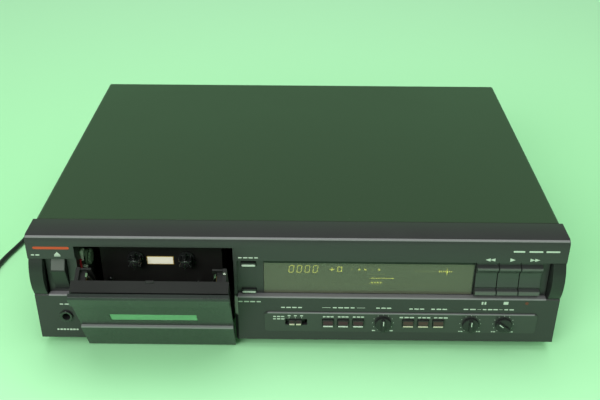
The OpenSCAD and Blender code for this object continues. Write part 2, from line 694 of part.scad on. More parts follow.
// Smooth point at t along the stretch from p[i] to p[i + 1]
function spline(p, i, t) = let (
    n = len(p),
    a = p[max(i - 1, 0)], b = p[i], c = p[i + 1], d = p[min(i + 2, n - 1)]
) 0.5 * (2 * b + (c - a) * t + (2 * a - 5 * b + 4 * c - d) * t * t + (3 * b - a - 3 * c + d) * t * t * t);
function smooth(p, k) = [for (i = [0:len(p) - 2], j = [0:k - 1]) spline(p, i, j / k), p[len(p) - 1]];
function ring(c, dir, r, sides) = let (
    u = unit(cross(dir, [0, 0, 1])), w = unit(cross(u, dir))
) [for (j = [0:sides - 1]) c + r * (cos(360 * j / sides) * u + sin(360 * j / sides) * w)];
module tube(p, r, sides) {
    n = len(p);
    rings = [for (i = [0:n - 1]) ring(p[i], p[min(i + 1, n - 1)] - p[max(i - 1, 0)], r, sides)];
    polyhedron(
        [for (q = rings) each q],
        concat(
            [[for (j = [0:sides - 1]) j]],
            [for (i = [0:n - 2], j = [0:sides - 1]) let (a = i * sides, k = (j + 1) % sides)
                [a + j, a + sides + j, a + sides + k, a + k]],
            [[for (j = [sides - 1:-1:0]) (n - 1) * sides + j]]
        )
    );
}
module mains_cord() color("black") {
    tube(smooth(cord_route, 3), cord_r, 10);
    tube(smooth(tail_route, 3), cord_r, 10);
}
module cord_coil() color("black") translate([coil_c[0], coil_c[1], 0]) rotate_extrude($fn = 64)
    translate([coil_r, 0]) polygon([[-9.3, 0.2], [9.3, 0.2], [9.3, 4.9], [6, 9.5], [-9.3, 9.5]]);
module cord_tie() color("black") translate([coil_c[0], coil_c[1] - coil_r, 0]) difference() {
    block([-2, -10.3, 0], [2, 10.3, 10.3]);
    block([-3, -9.3, 0.2], [3, 9.3, 9.5]);
}
module mains_plug() color("black") translate(plug_at) rotate(plug_turn) {
    translate([0, 0, 6.8]) rotate([-90, 0, 0]) cylinder(r1 = 3, r2 = 4.4, h = 14);
    along_y(14, 34) intersection() {
        round_rect(-17, 17, 0, 13.6, 5);
        translate([-18, 0]) square([36, 13.6]);
    }
    for (x = [-9.3, 9.3]) translate([x, 0, 6.8]) {
        rod_y(2, 34, 52);
        translate([0, 52, 0]) rotate([-90, 0, 0]) cylinder(r1 = 2, r2 = 1.2, h = 1);
    }
}

chassis_pan();
top_cover();
rear_panel();
fascia();
right_end_cap();
control_strip();
display_window();
display_tube();
front_board();
control_pots();
phones_jack();
mechanism_plate();
hinge_brackets();
hinge_pin();
damper_housing();
damper_gear();
main_board();
mains_transformer();
filter_capacitors();
power_switch();
line_jacks();
feet();
case_screws();
capstan_motor();
motor_pulley();
drive_belt();
flywheel();
reel_motor();
head_base();
tape_heads();
pinch_roller();
reel_spindle_left();
reel_spindle_right();
door_cover();
door_window();
cassette_holder();
holder_springs();
power_key();
eject_key();
rewind_key();
play_key();
forward_key();
rocker_shaft();
counter_reset_key();
counter_memory_key();
timer_slider();
tape_key_1();
tape_key_2();
tape_key_3();
filter_key_1();
filter_key_2();
filter_key_3();
output_knob();
balance_knob();
record_level_knob();
strain_relief();
mains_cord();
cord_coil();
cord_tie();
mains_plug();
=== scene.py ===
"""Looks of a front-loading stereo cassette deck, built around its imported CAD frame.

Everything is in metres in the row's frame. Small sizes are written in millimetres and scaled by MM.
Panel coordinates are the front panel's own: x to the right, y into the deck from the panel's face,
z up from the panel's lower edge.
"""
import json
import math

import bmesh
import bpy
from mathutils import Matrix, Vector


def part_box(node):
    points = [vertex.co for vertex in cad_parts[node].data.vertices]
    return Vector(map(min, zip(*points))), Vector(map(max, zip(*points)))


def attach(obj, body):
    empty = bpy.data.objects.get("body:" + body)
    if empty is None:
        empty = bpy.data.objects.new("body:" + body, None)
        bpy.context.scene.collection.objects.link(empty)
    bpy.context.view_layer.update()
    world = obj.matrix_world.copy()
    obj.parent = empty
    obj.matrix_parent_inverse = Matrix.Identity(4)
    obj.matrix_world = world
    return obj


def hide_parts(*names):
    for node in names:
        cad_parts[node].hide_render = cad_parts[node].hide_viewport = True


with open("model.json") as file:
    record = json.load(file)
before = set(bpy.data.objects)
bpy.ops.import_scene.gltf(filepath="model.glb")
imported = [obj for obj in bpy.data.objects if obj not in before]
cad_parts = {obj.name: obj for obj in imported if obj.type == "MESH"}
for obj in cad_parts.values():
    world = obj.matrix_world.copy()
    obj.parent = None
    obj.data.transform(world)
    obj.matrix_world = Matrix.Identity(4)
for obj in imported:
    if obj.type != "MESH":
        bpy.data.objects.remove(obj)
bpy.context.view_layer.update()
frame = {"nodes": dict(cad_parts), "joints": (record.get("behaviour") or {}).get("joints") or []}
nodes = frame["nodes"]
scene = bpy.context.scene

MM = 0.001
SHARP = math.radians(34)       # edges sharper than this stay crisp

# ------------------------------------------------------------------ places

panel_low, panel_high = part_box("fascia")
door_joint = next(j for j in frame["joints"] if j["name"] == "door_hinge")
hinge_point = Vector(door_joint["pos_m"])
open_angle = -math.radians(door_joint["range_deg"][0])

# Local x right, y up, z towards the viewer
TO_FRONT = Matrix(((1, 0, 0, 0), (0, 0, -1, 0), (0, 1, 0, 0), (0, 0, 0, 1)))
# Local x left, y up, z towards the rear
TO_REAR = Matrix(((-1, 0, 0, 0), (0, 0, 1, 0), (0, 1, 0, 0), (0, 0, 0, 1)))
# Local z to the right, y up
TO_RIGHT = Matrix(((0, 0, 1, 0), (1, 0, 0, 0), (0, 1, 0, 0), (0, 0, 0, 1)))
TO_LEFT = Matrix(((0, 0, -1, 0), (-1, 0, 0, 0), (0, 1, 0, 0), (0, 0, 0, 1)))
# From the closed door's place to the open one's
OPENED = (Matrix.Translation(hinge_point) @ Matrix.Rotation(open_angle, 4, "X")
          @ Matrix.Translation(-hinge_point))


def at(x, y, z):
    """A point given in the panel's millimetres."""
    return Vector((x * MM, panel_low.y + y * MM, panel_low.z + z * MM))


def facing(x, y, z, turn=0.0):
    """A place on a surface that faces the viewer, turned clockwise by that many degrees."""
    return Matrix.Translation(at(x, y, z)) @ TO_FRONT @ Matrix.Rotation(-math.radians(turn), 4, "Z")


def node_middle(name):
    low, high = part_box(name)
    return (low + high) / 2


def span(name):
    """Where a part begins and ends along the panel, in millimetres."""
    low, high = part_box(name)
    return low.x / MM, high.x / MM


def on_face(name):
    """A part's middle, brought to the plane of the panel's face."""
    middle = node_middle(name)
    return Matrix.Translation((middle.x, panel_low.y, middle.z)) @ TO_FRONT


ON_PANEL = facing(0, 0, 0)
ON_DOOR = OPENED @ ON_PANEL    # the closed door's coordinates, carried to the open door

# ------------------------------------------------------------------ camera, floor and light

def make_camera():
    data = bpy.data.cameras.new("camera")
    data.lens = 50
    data.sensor_width = 36
    camera = bpy.data.objects.new("camera", data)
    camera.location = (0.00740, -0.69555, 0.46272)
    camera.rotation_euler = (1.048, -0.0039, 0.0113)
    scene.collection.objects.link(camera)
    scene.camera = camera


def make_floor():
    mesh = bpy.data.meshes.new("floor")
    half = 4.0
    corners = [(x * half, y * half, 0) for x, y in ((-1, -1), (1, -1), (1, 1), (-1, 1))]
    mesh.from_pydata(corners, [], [(0, 1, 2, 3)])
    floor = bpy.data.objects.new("floor", mesh)
    floor.location.z = -0.0002
    scene.collection.objects.link(floor)
    material = bpy.data.materials.new("studio_floor")
    material.use_nodes = True
    tree = material.node_tree
    shader = tree.nodes["Principled BSDF"]
    shader.inputs["Roughness"].default_value = 0.6
    coords = tree.nodes.new("ShaderNodeTexCoord")
    split = tree.nodes.new("ShaderNodeSeparateXYZ")
    ramp = tree.nodes.new("ShaderNodeValToRGB")
    spread = tree.nodes.new("ShaderNodeMapRange")
    spread.inputs["From Min"].default_value = -0.5
    spread.inputs["From Max"].default_value = 0.9
    # painted shade: the floor's colour is darker in a band across the middle, where the deck stands, and
    # lighter in front of it and far behind it
    ramp.color_ramp.elements[0].color = (0.56, 0.97, 0.62, 1)
    ramp.color_ramp.elements[1].color = (0.58, 0.94, 0.64, 1)
    ramp.color_ramp.elements.new(0.36).color = (0.42, 0.86, 0.47, 1)
    tree.links.new(coords.outputs["Object"], split.inputs[0])
    tree.links.new(split.outputs["Y"], spread.inputs["Value"])
    tree.links.new(spread.outputs["Result"], ramp.inputs["Fac"])
    tree.links.new(ramp.outputs["Color"], shader.inputs["Base Color"])
    mesh.materials.append(material)


def make_world():
    """A room in pale green with a dim ceiling."""
    world = bpy.data.worlds.new("room")
    scene.world = world
    world.use_nodes = True
    tree = world.node_tree
    coords = tree.nodes.new("ShaderNodeTexCoord")
    split = tree.nodes.new("ShaderNodeSeparateXYZ")
    height = tree.nodes.new("ShaderNodeMapRange")
    height.inputs["From Min"].default_value = -1.0
    ramp = tree.nodes.new("ShaderNodeValToRGB")
    stops = ramp.color_ramp.elements
    stops[0].position, stops[0].color = 0.0, (0.30, 0.62, 0.34, 1)
    stops[1].position, stops[1].color = 1.0, (0.13, 0.15, 0.13, 1)
    for position, colour in ((0.5, (0.32, 0.70, 0.38, 1)), (0.70, (0.36, 0.78, 0.40, 1)),
                             (0.84, (0.30, 0.50, 0.30, 1)), (0.92, (0.15, 0.19, 0.15, 1))):
        stops.new(position).color = colour
    back = tree.nodes["Background"]
    back.inputs["Strength"].default_value = 0.8
    tree.links.new(coords.outputs["Generated"], split.inputs[0])
    tree.links.new(split.outputs["Z"], height.inputs["Value"])
    tree.links.new(height.outputs["Result"], ramp.inputs["Fac"])
    tree.links.new(ramp.outputs["Color"], back.inputs["Color"])


def make_light(name, place, target, size, power, colour=(1, 1, 1), mirrored=True):
    data = bpy.data.lights.new(name, "AREA")
    data.shape = "RECTANGLE"
    data.size, data.size_y = size
    data.energy = power
    data.color = colour
    light = bpy.data.objects.new(name, data)
    light.location = place
    light.visible_glossy = mirrored
    light.rotation_euler = (Vector(target) - Vector(place)).to_track_quat("-Z", "Y").to_euler()
    scene.collection.objects.link(light)


make_camera()
make_floor()
make_world()
scene.view_settings.view_transform = "Standard"
make_light("ceiling", (0.1, 0.1, 1.9), (0, 0, 0), (2.2, 1.6), 24, mirrored=False)
make_light("front_left", (-0.9, -1.6, 1.0), (0, 0, 0.05), (1.2, 0.8), 20, (1.0, 0.98, 0.97), mirrored=False)
make_light("spot", (-0.45, -1.2, 1.0), (0, 0, 0.08), (0.25, 0.25), 1.6)
make_light("front_strip", (0, -1.15, 1.5), (0, 0, 0.08), (2.4, 0.12), 6)

# ------------------------------------------------------------------ materials

DUST = (0.3, 0.31, 0.29, 1)
REFRACTION = 1.5               # of plastic and glass


def add(tree, kind, **settings):
    node = tree.nodes.new(kind)
    for key, value in settings.items():
        setattr(node, key, value)
    return node


def surface(name, colour, rough=0.45, metal=0.0, grain=0.12, grain_size=0.5, blotch=0.08, patch=30.0,
            polish=0.07, specular=0.5, coat=0.0, stretch=(1, 1, 1), specks=0.0, glow=None, glow_power=0.0,
            clear=0.0, sheen=0.0):
    """A solid finish: fine grain in the bump, patches in colour and roughness, and a few pale specks."""
    material = bpy.data.materials.new(name)
    material.use_nodes = True
    tree = material.node_tree
    shader = tree.nodes["Principled BSDF"]
    link = tree.links.new
    coords = add(tree, "ShaderNodeTexCoord")
    turned = add(tree, "ShaderNodeMapping")
    turned.inputs["Scale"].default_value = stretch
    link(coords.outputs["Object"], turned.inputs["Vector"])
    fine = add(tree, "ShaderNodeTexNoise")
    fine.inputs["Scale"].default_value = 1 / (grain_size * MM)
    fine.inputs["Detail"].default_value = 3.0
    fine.inputs["Roughness"].default_value = 0.6
    link(turned.outputs["Vector"], fine.inputs["Vector"])
    broad = add(tree, "ShaderNodeTexNoise")
    broad.inputs["Scale"].default_value = patch
    broad.inputs["Detail"].default_value = 5.0
    link(turned.outputs["Vector"], broad.inputs["Vector"])

    tone = add(tree, "ShaderNodeMix", data_type="RGBA")
    tone.inputs["A"].default_value = tuple(c * (1 - blotch) for c in colour[:3]) + (1,)
    tone.inputs["B"].default_value = tuple(min(1, c * (1 + blotch)) for c in colour[:3]) + (1,)
    link(broad.outputs["Fac"], tone.inputs["Factor"])
    out = tone.outputs["Result"]
    if specks:
        dots = add(tree, "ShaderNodeTexVoronoi")
        dots.inputs["Scale"].default_value = 90.0
        near = add(tree, "ShaderNodeMapRange")
        near.inputs["From Min"].default_value = 0.02
        near.inputs["From Max"].default_value = 0.035
        near.inputs["To Min"].default_value = specks
        near.inputs["To Max"].default_value = 0.0
        dust = add(tree, "ShaderNodeMix", data_type="RGBA")
        dust.inputs["B"].default_value = DUST
        link(coords.outputs["Object"], dots.inputs["Vector"])
        link(dots.outputs["Distance"], near.inputs["Value"])
        link(near.outputs["Result"], dust.inputs["Factor"])
        link(out, dust.inputs["A"])
        out = dust.outputs["Result"]
    link(out, shader.inputs["Base Color"])

    both = add(tree, "ShaderNodeMath", operation="ADD")
    link(fine.outputs["Fac"], both.inputs[0])
    link(broad.outputs["Fac"], both.inputs[1])
    gloss = add(tree, "ShaderNodeMapRange")
    gloss.inputs["From Min"].default_value = 0.6
    gloss.inputs["From Max"].default_value = 1.4
    gloss.inputs["To Min"].default_value = max(0.02, rough - polish)
    gloss.inputs["To Max"].default_value = min(1.0, rough + polish)
    link(both.outputs["Value"], gloss.inputs["Value"])
    link(gloss.outputs["Result"], shader.inputs["Roughness"])
    bump = add(tree, "ShaderNodeBump")
    bump.inputs["Strength"].default_value = grain
    bump.inputs["Distance"].default_value = 0.1 * MM
    link(fine.outputs["Fac"], bump.inputs["Height"])
    link(bump.outputs["Normal"], shader.inputs["Normal"])

    shader.inputs["Metallic"].default_value = metal
    shader.inputs["Specular IOR Level"].default_value = specular
    shader.inputs["IOR"].default_value = REFRACTION
    shader.inputs["Coat Weight"].default_value = coat
    shader.inputs["Transmission Weight"].default_value = clear
    shader.inputs["Sheen Weight"].default_value = sheen
    if glow:
        shader.inputs["Emission Color"].default_value = glow
        shader.inputs["Emission Strength"].default_value = glow_power
    return material


LOOK = {
    "panel": surface("panel_plastic", (0.030, 0.027, 0.031, 1), 0.38, grain=0.22, specks=0.05),
    "strip": surface("strip_plastic", (0.040, 0.041, 0.041, 1), 0.34, grain=0.18),
    # painted highlight: a pale satin colour for strips on edges and ledges that catch the light
    "painted_highlight": surface("satin_painted_highlight", (0.19, 0.18, 0.195, 1), 0.36, grain=0.15, stretch=(0.1, 1, 1), blotch=0.12),
    # the cover's green tint is painted reflection of the green room; its pale specks are dust
    "cover": surface("cover_paint", (0.023, 0.036, 0.021, 1), 0.34, grain=0.25, grain_size=0.7, patch=9,
                     blotch=0.12, specks=0.28),
    "steel": surface("zinc_steel", (0.46, 0.46, 0.44, 1), 0.38, 0.95, grain=0.1, patch=60, blotch=0.14,
                     polish=0.12),
    "rear": surface("rear_paint", (0.032, 0.033, 0.034, 1), 0.5, grain=0.35, grain_size=0.6, specks=0.1),
    "door": surface("door_plastic", (0.026, 0.030, 0.029, 1), 0.28, grain=0.1, specks=0.05),
    "holder": surface("holder_plastic", (0.018, 0.017, 0.018, 1), 0.42, grain=0.2, specks=0.08),
    "key": surface("key_plastic", (0.018, 0.018, 0.019, 1), 0.36, grain=0.15, specular=0.4),
    # The rocker keys share the other keys' plastic; their colour is painted lighter than the key plastic
    # above to stand for the light they catch.
    "rocker": surface("rocker_plastic_painted_lighter", (0.040, 0.040, 0.042, 1), 0.32, grain=0.15),
    # painted highlight: a paler colour for key ridges and slopes that catch the light
    "ridge_highlight": surface("key_ridge_painted_highlight", (0.085, 0.083, 0.084, 1), 0.34, grain=0.15, blotch=0.15, patch=120),
    "window": surface("smoked_window", (0.17, 0.16, 0.125, 1), 0.12, grain=0.02, clear=0.45, polish=0.03,
                      blotch=0.05),
    # painted reflection: the door window's bright green colour stands for the green room reflected in it
    "door_window": surface("door_window_painted_reflection", (0.20, 0.46, 0.25, 1), 0.08, grain=0.02, clear=0.3,
                           polish=0.03, blotch=0.05),
    "tube": surface("tube_glass", (0.022, 0.024, 0.016, 1), 0.2, grain=0.03, coat=0.5),
    "glow": surface("lit_segment", (0.40, 0.42, 0.18, 1), 0.5, glow=(0.66, 0.75, 0.12, 1), glow_power=16.0,
                    grain=0.05),
    "faint": surface("unlit_segment", (0.12, 0.14, 0.06, 1), 0.5, glow=(0.4, 0.5, 0.1, 1), glow_power=2.5,
                     grain=0.05),
    "board": surface("board_lacquer", (0.035, 0.09, 0.035, 1), 0.35, grain=0.2, patch=140, blotch=0.3,
                     coat=0.3),
    "metal": surface("bright_metal", (0.62, 0.61, 0.58, 1), 0.26, 1.0, grain=0.08, patch=80, polish=0.1),
    "brushed": surface("brushed_metal", (0.50, 0.50, 0.49, 1), 0.33, 1.0, grain=0.2, stretch=(1, 1, 12),
                       polish=0.1),
    "brass": surface("brass", (0.62, 0.45, 0.18, 1), 0.3, 1.0, grain=0.1, blotch=0.15, polish=0.1),
    "gold": surface("gold_plating", (0.78, 0.58, 0.24, 1), 0.2, 1.0, grain=0.05, polish=0.08),
    "gloss": surface("gloss_black", (0.016, 0.016, 0.017, 1), 0.16, grain=0.04, coat=0.4, polish=0.05),
    "black": surface("black_moulding", (0.020, 0.020, 0.021, 1), 0.42, grain=0.2),
    "plate": surface("plate_lacquer", (0.013, 0.0115, 0.0115, 1), 0.45, grain=0.25, grain_size=0.8,
                     specks=0.12),
    "white": surface("white_plastic", (0.62, 0.61, 0.56, 1), 0.4, grain=0.1, blotch=0.05),
    "ink": surface("white_ink", (0.50, 0.52, 0.49, 1), 0.6, grain=0.2, blotch=0.1, patch=400),
    "dim_ink": surface("grey_ink", (0.22, 0.24, 0.22, 1), 0.6, grain=0.2, blotch=0.1, patch=400),
    "red_ink": surface("red_ink", (0.50, 0.055, 0.02, 1), 0.55, grain=0.2, patch=400),
    "dim_red": surface("dim_red_ink", (0.13, 0.025, 0.018, 1), 0.55, grain=0.2, patch=400),
    # painted light: the label glows faintly so that it reads brighter than the light on it
    "cream": surface("cream_label_painted_glow", (0.92, 0.86, 0.72, 1), 0.6, grain=0.3, blotch=0.06, patch=200,
                     glow=(0.9, 0.84, 0.7, 1), glow_power=0.25),
    "iron": surface("iron_core", (0.20, 0.19, 0.18, 1), 0.5, 0.7, grain=0.3, stretch=(1, 14, 1), blotch=0.2),
    "tape": surface("winding_tape", (0.55, 0.36, 0.06, 1), 0.4, grain=0.2, blotch=0.1),
    "sleeve": surface("capacitor_sleeve", (0.012, 0.025, 0.10, 1), 0.3, grain=0.08, coat=0.3),
    "rubber": surface("rubber", (0.016, 0.016, 0.017, 1), 0.72, grain=0.4, grain_size=0.3, sheen=0.1),
    "screw": surface("black_screw", (0.05, 0.05, 0.052, 1), 0.32, 0.85, grain=0.1, blotch=0.2, polish=0.1),
    "flex": surface("cord_sheath", (0.016, 0.017, 0.018, 1), 0.42, grain=0.15, grain_size=0.9),
    "pin": surface("nickel_pin", (0.66, 0.64, 0.60, 1), 0.22, 1.0, grain=0.06, polish=0.08),
    "lens": surface("key_lens", (0.055, 0.022, 0.032, 1), 0.4, grain=0.08, specular=0.25),
    "warm_lens": surface("warm_key_lens", (0.070, 0.036, 0.036, 1), 0.4, grain=0.08, specular=0.25),
    "cream_line": surface("cream_line", (0.50, 0.45, 0.36, 1), 0.4, grain=0.1),
    "red_wire": surface("red_wire", (0.34, 0.012, 0.02, 1), 0.35, grain=0.1),
    "jack_red": surface("red_insulator", (0.42, 0.02, 0.015, 1), 0.35, grain=0.08),
    "jack_white": surface("white_insulator", (0.66, 0.65, 0.60, 1), 0.35, grain=0.08),
    # painted highlight: a pale colour for the lit bevel beside the door
    "bevel_highlight": surface("painted_bevel_highlight", (0.62, 0.66, 0.60, 1), 0.4, grain=0.2, blotch=0.2, patch=200),
    # painted shade: near-black for the shaded gap over the display, the line under the door's band and the
    # bottoms of the socket holes
    "painted_shade": surface("painted_shade_black", (0.006, 0.006, 0.006, 1), 0.6, grain=0.1),
}

# ------------------------------------------------------------------ mesh work


def circle(radius, count=40, x=0.0, y=0.0):
    step = 2 * math.pi / count
    return [(x + radius * math.cos(i * step), y + radius * math.sin(i * step)) for i in range(count)]


def fluted(radius, depth, flutes=30, per_flute=4):
    """A circle with shallow grooves."""
    inner = 1 - depth / radius
    return [(x * inner, y * inner) if i % per_flute == 0 else (x, y)
            for i, (x, y) in enumerate(circle(radius, flutes * per_flute))]


def cross(arm, half, count=24):
    """The mouth of a cross recess, as seen from its middle in each direction."""
    points = []
    for c, s in circle(1.0, count):
        c, s = max(abs(c), 1e-6) * (1 if c >= 0 else -1), max(abs(s), 1e-6) * (1 if s >= 0 else -1)
        reach = max(min(arm / abs(c), half / abs(s)), min(half / abs(c), arm / abs(s)))
        points.append((c * reach, s * reach))
    return points


def rounded(width, height, radius, x=0.0, y=0.0, steps=5):
    """Outline of a rectangle with round corners about (x, y), counterclockwise."""
    points = []
    for corner, (sx, sy) in enumerate(((1, 1), (-1, 1), (-1, -1), (1, -1))):
        cx = x + sx * (width / 2 - radius)
        cy = y + sy * (height / 2 - radius)
        for i in range(steps + 1):
            angle = math.pi / 2 * (corner + i / steps)
            points.append((cx + radius * math.cos(angle), cy + radius * math.sin(angle)))
    return points


def moved_in(outline, distance):
    """The outline moved inwards along its mitred normals."""
    count = len(outline)
    points = []
    for i in range(count):
        before, here, after = (Vector(outline[(i + k) % count]) for k in (-1, 0, 1))
        one, two = (here - before).normalized(), (after - here).normalized()
        normal = Vector((-one.y - two.y, one.x + two.x))
        length = normal.length_squared
        points.append(tuple(here + normal * (2 * distance / length)) if length > 1e-9 else tuple(here))
    return points


def ring_steps(outline, steps):
    """Copies of an outline, each moved in by a distance and raised to a height."""
    return [[(x, y, z) for x, y in (moved_in(outline, d) if d else outline)] for d, z in steps]


class Piece:
    """One object made of several lofted shapes.

    Sizes are in millimetres, and place is a matrix in metres. A shape has the first of the piece's looks,
    unless it names another of them.
    """

    def __init__(self, name, body, *looks, slot):
        self.mesh = bmesh.new()
        self.name, self.body, self.looks, self.slot = name, body, looks, slot

    def rings(self, rings, place=Matrix(), look=None, caps=True):
        """A skin through rings of 3-D points with as many points each."""
        rows = [[self.mesh.verts.new(place @ (Vector(p) * MM)) for p in ring] for ring in rings]
        made = []
        count = len(rows[0])
        for low, high in zip(rows, rows[1:]):
            for i in range(count):
                k = (i + 1) % count
                made.append(self.mesh.faces.new((low[i], low[k], high[k], high[i])))
        if caps:
            made.append(self.mesh.faces.new(rows[0][::-1]))
            made.append(self.mesh.faces.new(rows[-1]))
        index = self.looks.index(look) if look else 0
        for face in made:
            face.material_index = index
        bmesh.ops.recalc_face_normals(self.mesh, faces=made)
        return made

    def prism(self, outline, z0, z1, place=Matrix(), look=None, edge=0.0):
        """An outline raised from z0 to z1, with its upper edge rounded by edge."""
        steps = [(0.0, z0), (0.0, z1)]
        if edge:
            turn = [math.pi / 2 * k / 3 for k in range(4)]
            steps[1:] = [(edge * (1 - math.cos(a)), z1 - edge * (1 - math.sin(a))) for a in turn]
        self.rings(ring_steps(outline, steps), place, look)

    def along(self, section, x0, x1, place=ON_PANEL, look=None):
        """A section of (y, z) points of the panel run from x0 to x1."""
        self.rings([[(x, z, -y) for y, z in section] for x in (x0, x1)], place, look)

    def lathe(self, profile, place=Matrix(), look=None, count=40, caps=True):
        """A turned shape: profile holds (radius, height) from one end to the other."""
        self.rings([[(x, y, z) for x, y in circle(max(r, 0.01), count)] for r, z in profile], place, look,
                   caps)

    def screw(self, place, radius=3.6, look=None):
        """A pan head with a cross recess, standing on its place."""
        high = radius * 0.66
        steps = [(radius, 0), (radius, high * 0.5), (radius * 0.92, high * 0.76), (radius * 0.72, high)]
        rings = [[(x, y, z) for x, y in circle(r, 24)] for r, z in steps]
        rings += [[(x, y, high) for x, y in cross(radius * 0.56, radius * 0.13)],
                  [(x, y, high * 0.35) for x, y in cross(radius * 0.36, radius * 0.1)]]
        self.rings(rings, place, look)

    def tube(self, points, radius, place=Matrix(), look=None, count=10, section=None, side=(0.3, 0.2, 1)):
        """A wire along 3-D points, round unless it has a section of its own."""
        path = [Vector(p) for p in points]
        side = Vector(side) if section else Vector(side).cross(path[1] - path[0]).normalized()
        section = section or circle(radius, count)
        rings = []
        for i, point in enumerate(path):
            ahead = (path[min(i + 1, len(path) - 1)] - path[max(i - 1, 0)]).normalized()
            side = (side - ahead * side.dot(ahead)).normalized()
            up = ahead.cross(side)
            rings.append([point + side * u + up * v for u, v in section])
        self.rings(rings, place, look)

    def done(self, *stands_for):
        for edge in self.mesh.edges:
            edge.smooth = len(edge.link_faces) == 2 and edge.calc_face_angle(0.0) < SHARP
        for face in self.mesh.faces:
            face.smooth = True
        data = bpy.data.meshes.new(self.name)
        self.mesh.to_mesh(data)
        self.mesh.free()
        for look in self.looks:
            data.materials.append(LOOK[look])
        piece = bpy.data.objects.new(self.name, data)
        scene.collection.objects.link(piece)
        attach(piece, self.body)
        if stands_for:
            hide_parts(*stands_for)
        return piece


# ------------------------------------------------------------------ CAD parts that stay

def dress(name, look, edge):
    """Gives a CAD part its finish, and rounds its edges by that many millimetres."""
    part = nodes[name]
    data = part.data
    data.materials.clear()
    data.materials.append(LOOK[look])
    if "custom_normal" in data.attributes:
        data.attributes.remove(data.attributes["custom_normal"])
    for face in data.polygons:
        face.use_smooth = True
        face.material_index = 0
    weld = part.modifiers.new("weld", "WELD")
    weld.merge_threshold = 0.002 * MM
    flat = part.modifiers.new("flat_faces", "DECIMATE")
    flat.decimate_type = "DISSOLVE"
    flat.angle_limit = math.radians(0.5)
    if edge:
        bevel = part.modifiers.new("round_edges", "BEVEL")
        bevel.width = edge * MM
        bevel.segments = 2
        bevel.limit_method = "ANGLE"
        bevel.angle_limit = math.radians(32)
        bevel.use_clamp_overlap = True
        bevel.harden_normals = True
    else:
        split = part.modifiers.new("crisp_edges", "EDGE_SPLIT")
        split.split_angle = SHARP


for name, look, edge in (
        ("chassis_pan", "steel", 0.25), ("top_cover", "cover", 0.35), ("rear_panel", "rear", 0.25),
        ("fascia", "panel", 0.3), ("right_end_cap", "key", 0.5), ("control_strip", "strip", 0.15),
        ("display_window", "window", 0.25), ("display_tube", "tube", 0.4), ("front_board", "board", 0.0),
        ("control_pots", "brushed", 0.3), ("phones_jack", "black", 0.3), ("mechanism_plate", "plate", 0.2),
        ("hinge_brackets", "metal", 0.2), ("hinge_pin", "metal", 0.2), ("damper_housing", "white", 0.3),
        ("damper_gear", "white", 0.0), ("main_board", "board", 0.0), ("mains_transformer", "iron", 0.4),
        ("power_switch", "black", 0.5), ("capstan_motor", "brushed", 0.6), ("motor_pulley", "brass", 0.15),
        ("drive_belt", "rubber", 0.15), ("flywheel", "brushed", 0.4), ("reel_motor", "brushed", 0.6),
        ("head_base", "metal", 0.2), ("pinch_roller", "rubber", 0.4), ("door_cover", "door", 0.4),
        ("door_window", "door_window", 0.2), ("cassette_holder", "holder", 0.25),
        ("holder_springs", "brass", 0.1), ("rocker_shaft", "metal", 0.2), ("power_key", "key", 0.5),
        ("eject_key", "key", 0.4), ("rewind_key", "rocker", 0.3), ("play_key", "rocker", 0.3),
        ("forward_key", "rocker", 0.3), ("tape_heads", "metal", 0.5),
        ("filter_capacitors", "sleeve", 0.8)):
    dress(name, look, edge)

# ------------------------------------------------------------------ knobs and keys

def front_of(name):
    """The middle of a part's front, facing the viewer."""
    low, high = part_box(name)
    return Matrix.Translation(((low.x + high.x) / 2, low.y, (low.z + high.z) / 2)) @ TO_FRONT


def make_knob(node, turn):
    """A fluted cap with a rounded grip across it and a white pointer."""
    place = on_face(node) @ Matrix.Rotation(-math.radians(turn), 4, "Z")
    knob = Piece(node + "_cap", node + "_body", "key", "ink", slot="key_plastic")
    knob.lathe([(3, -12.6), (3, 1.5), (2.6, 1.6)], place)
    cap = ((6.2, 0, 1.5), (6.7, 0.2, 1.8), (6.8, 0.3, 2.2), (6.8, 0.3, 3.6), (6.5, 0.2, 4.1), (5.9, 0, 4.35))
    knob.rings([[(x, y, z) for x, y in fluted(r, depth)] for r, depth, z in cap], place)
    knob.lathe([(5.9, 4.0), (5.9, 4.35), (5.5, 4.3), (1.5, 4.1)], place)
    knob.prism(rounded(3.0, 12.6, 1.45), 3.8, 6.8, place, edge=0.7)
    knob.prism(rounded(0.8, 4.6, 0.38, y=3.4), 6.6, 6.86, place, look="ink", edge=0.1)
    knob.done(node)


def make_small_key(node, lens, line):
    """A push key with a tinted lens over a pale lower lip."""
    place = front_of(node)
    key = Piece(node + "_cap", node + "_body", "key", lens, line, slot="key_plastic")
    key.prism(rounded(9.3, 7.4, 0.8), -5.7, 0, place, edge=0.5)
    key.prism(rounded(11.7, 9.4, 0.9), -6.8, -5.7, place, edge=0.2)
    key.prism(rounded(4, 4, 0.6), -9.6, -6.8, place, edge=0.2)
    key.prism(rounded(8.0, 3.7, 0.5, y=0.9), -0.3, 0.16, place, look=lens, edge=0.15)
    key.prism(rounded(8.3, 1.25, 0.5, y=-2.4), -0.3, 0.5, place, look=line, edge=0.35)
    key.done(node)


def make_counter_key(node):
    place = front_of(node)
    key = Piece(node + "_cap", node + "_body", "key", "ink", slot="key_plastic")
    key.prism(rounded(12, 4.2, 0.9), -4.8, 0, place, edge=0.4)
    key.prism(rounded(14.8, 6.2, 0.9), -5.8, -4.8, place, edge=0.2)
    key.prism(rounded(4, 2.2, 0.5), -7.2, -5.8, place, edge=0.2)
    key.prism(rounded(11.0, 1.9, 0.8, y=-0.5), -0.3, 0.3, place, look="ink", edge=0.25)
    key.done(node)


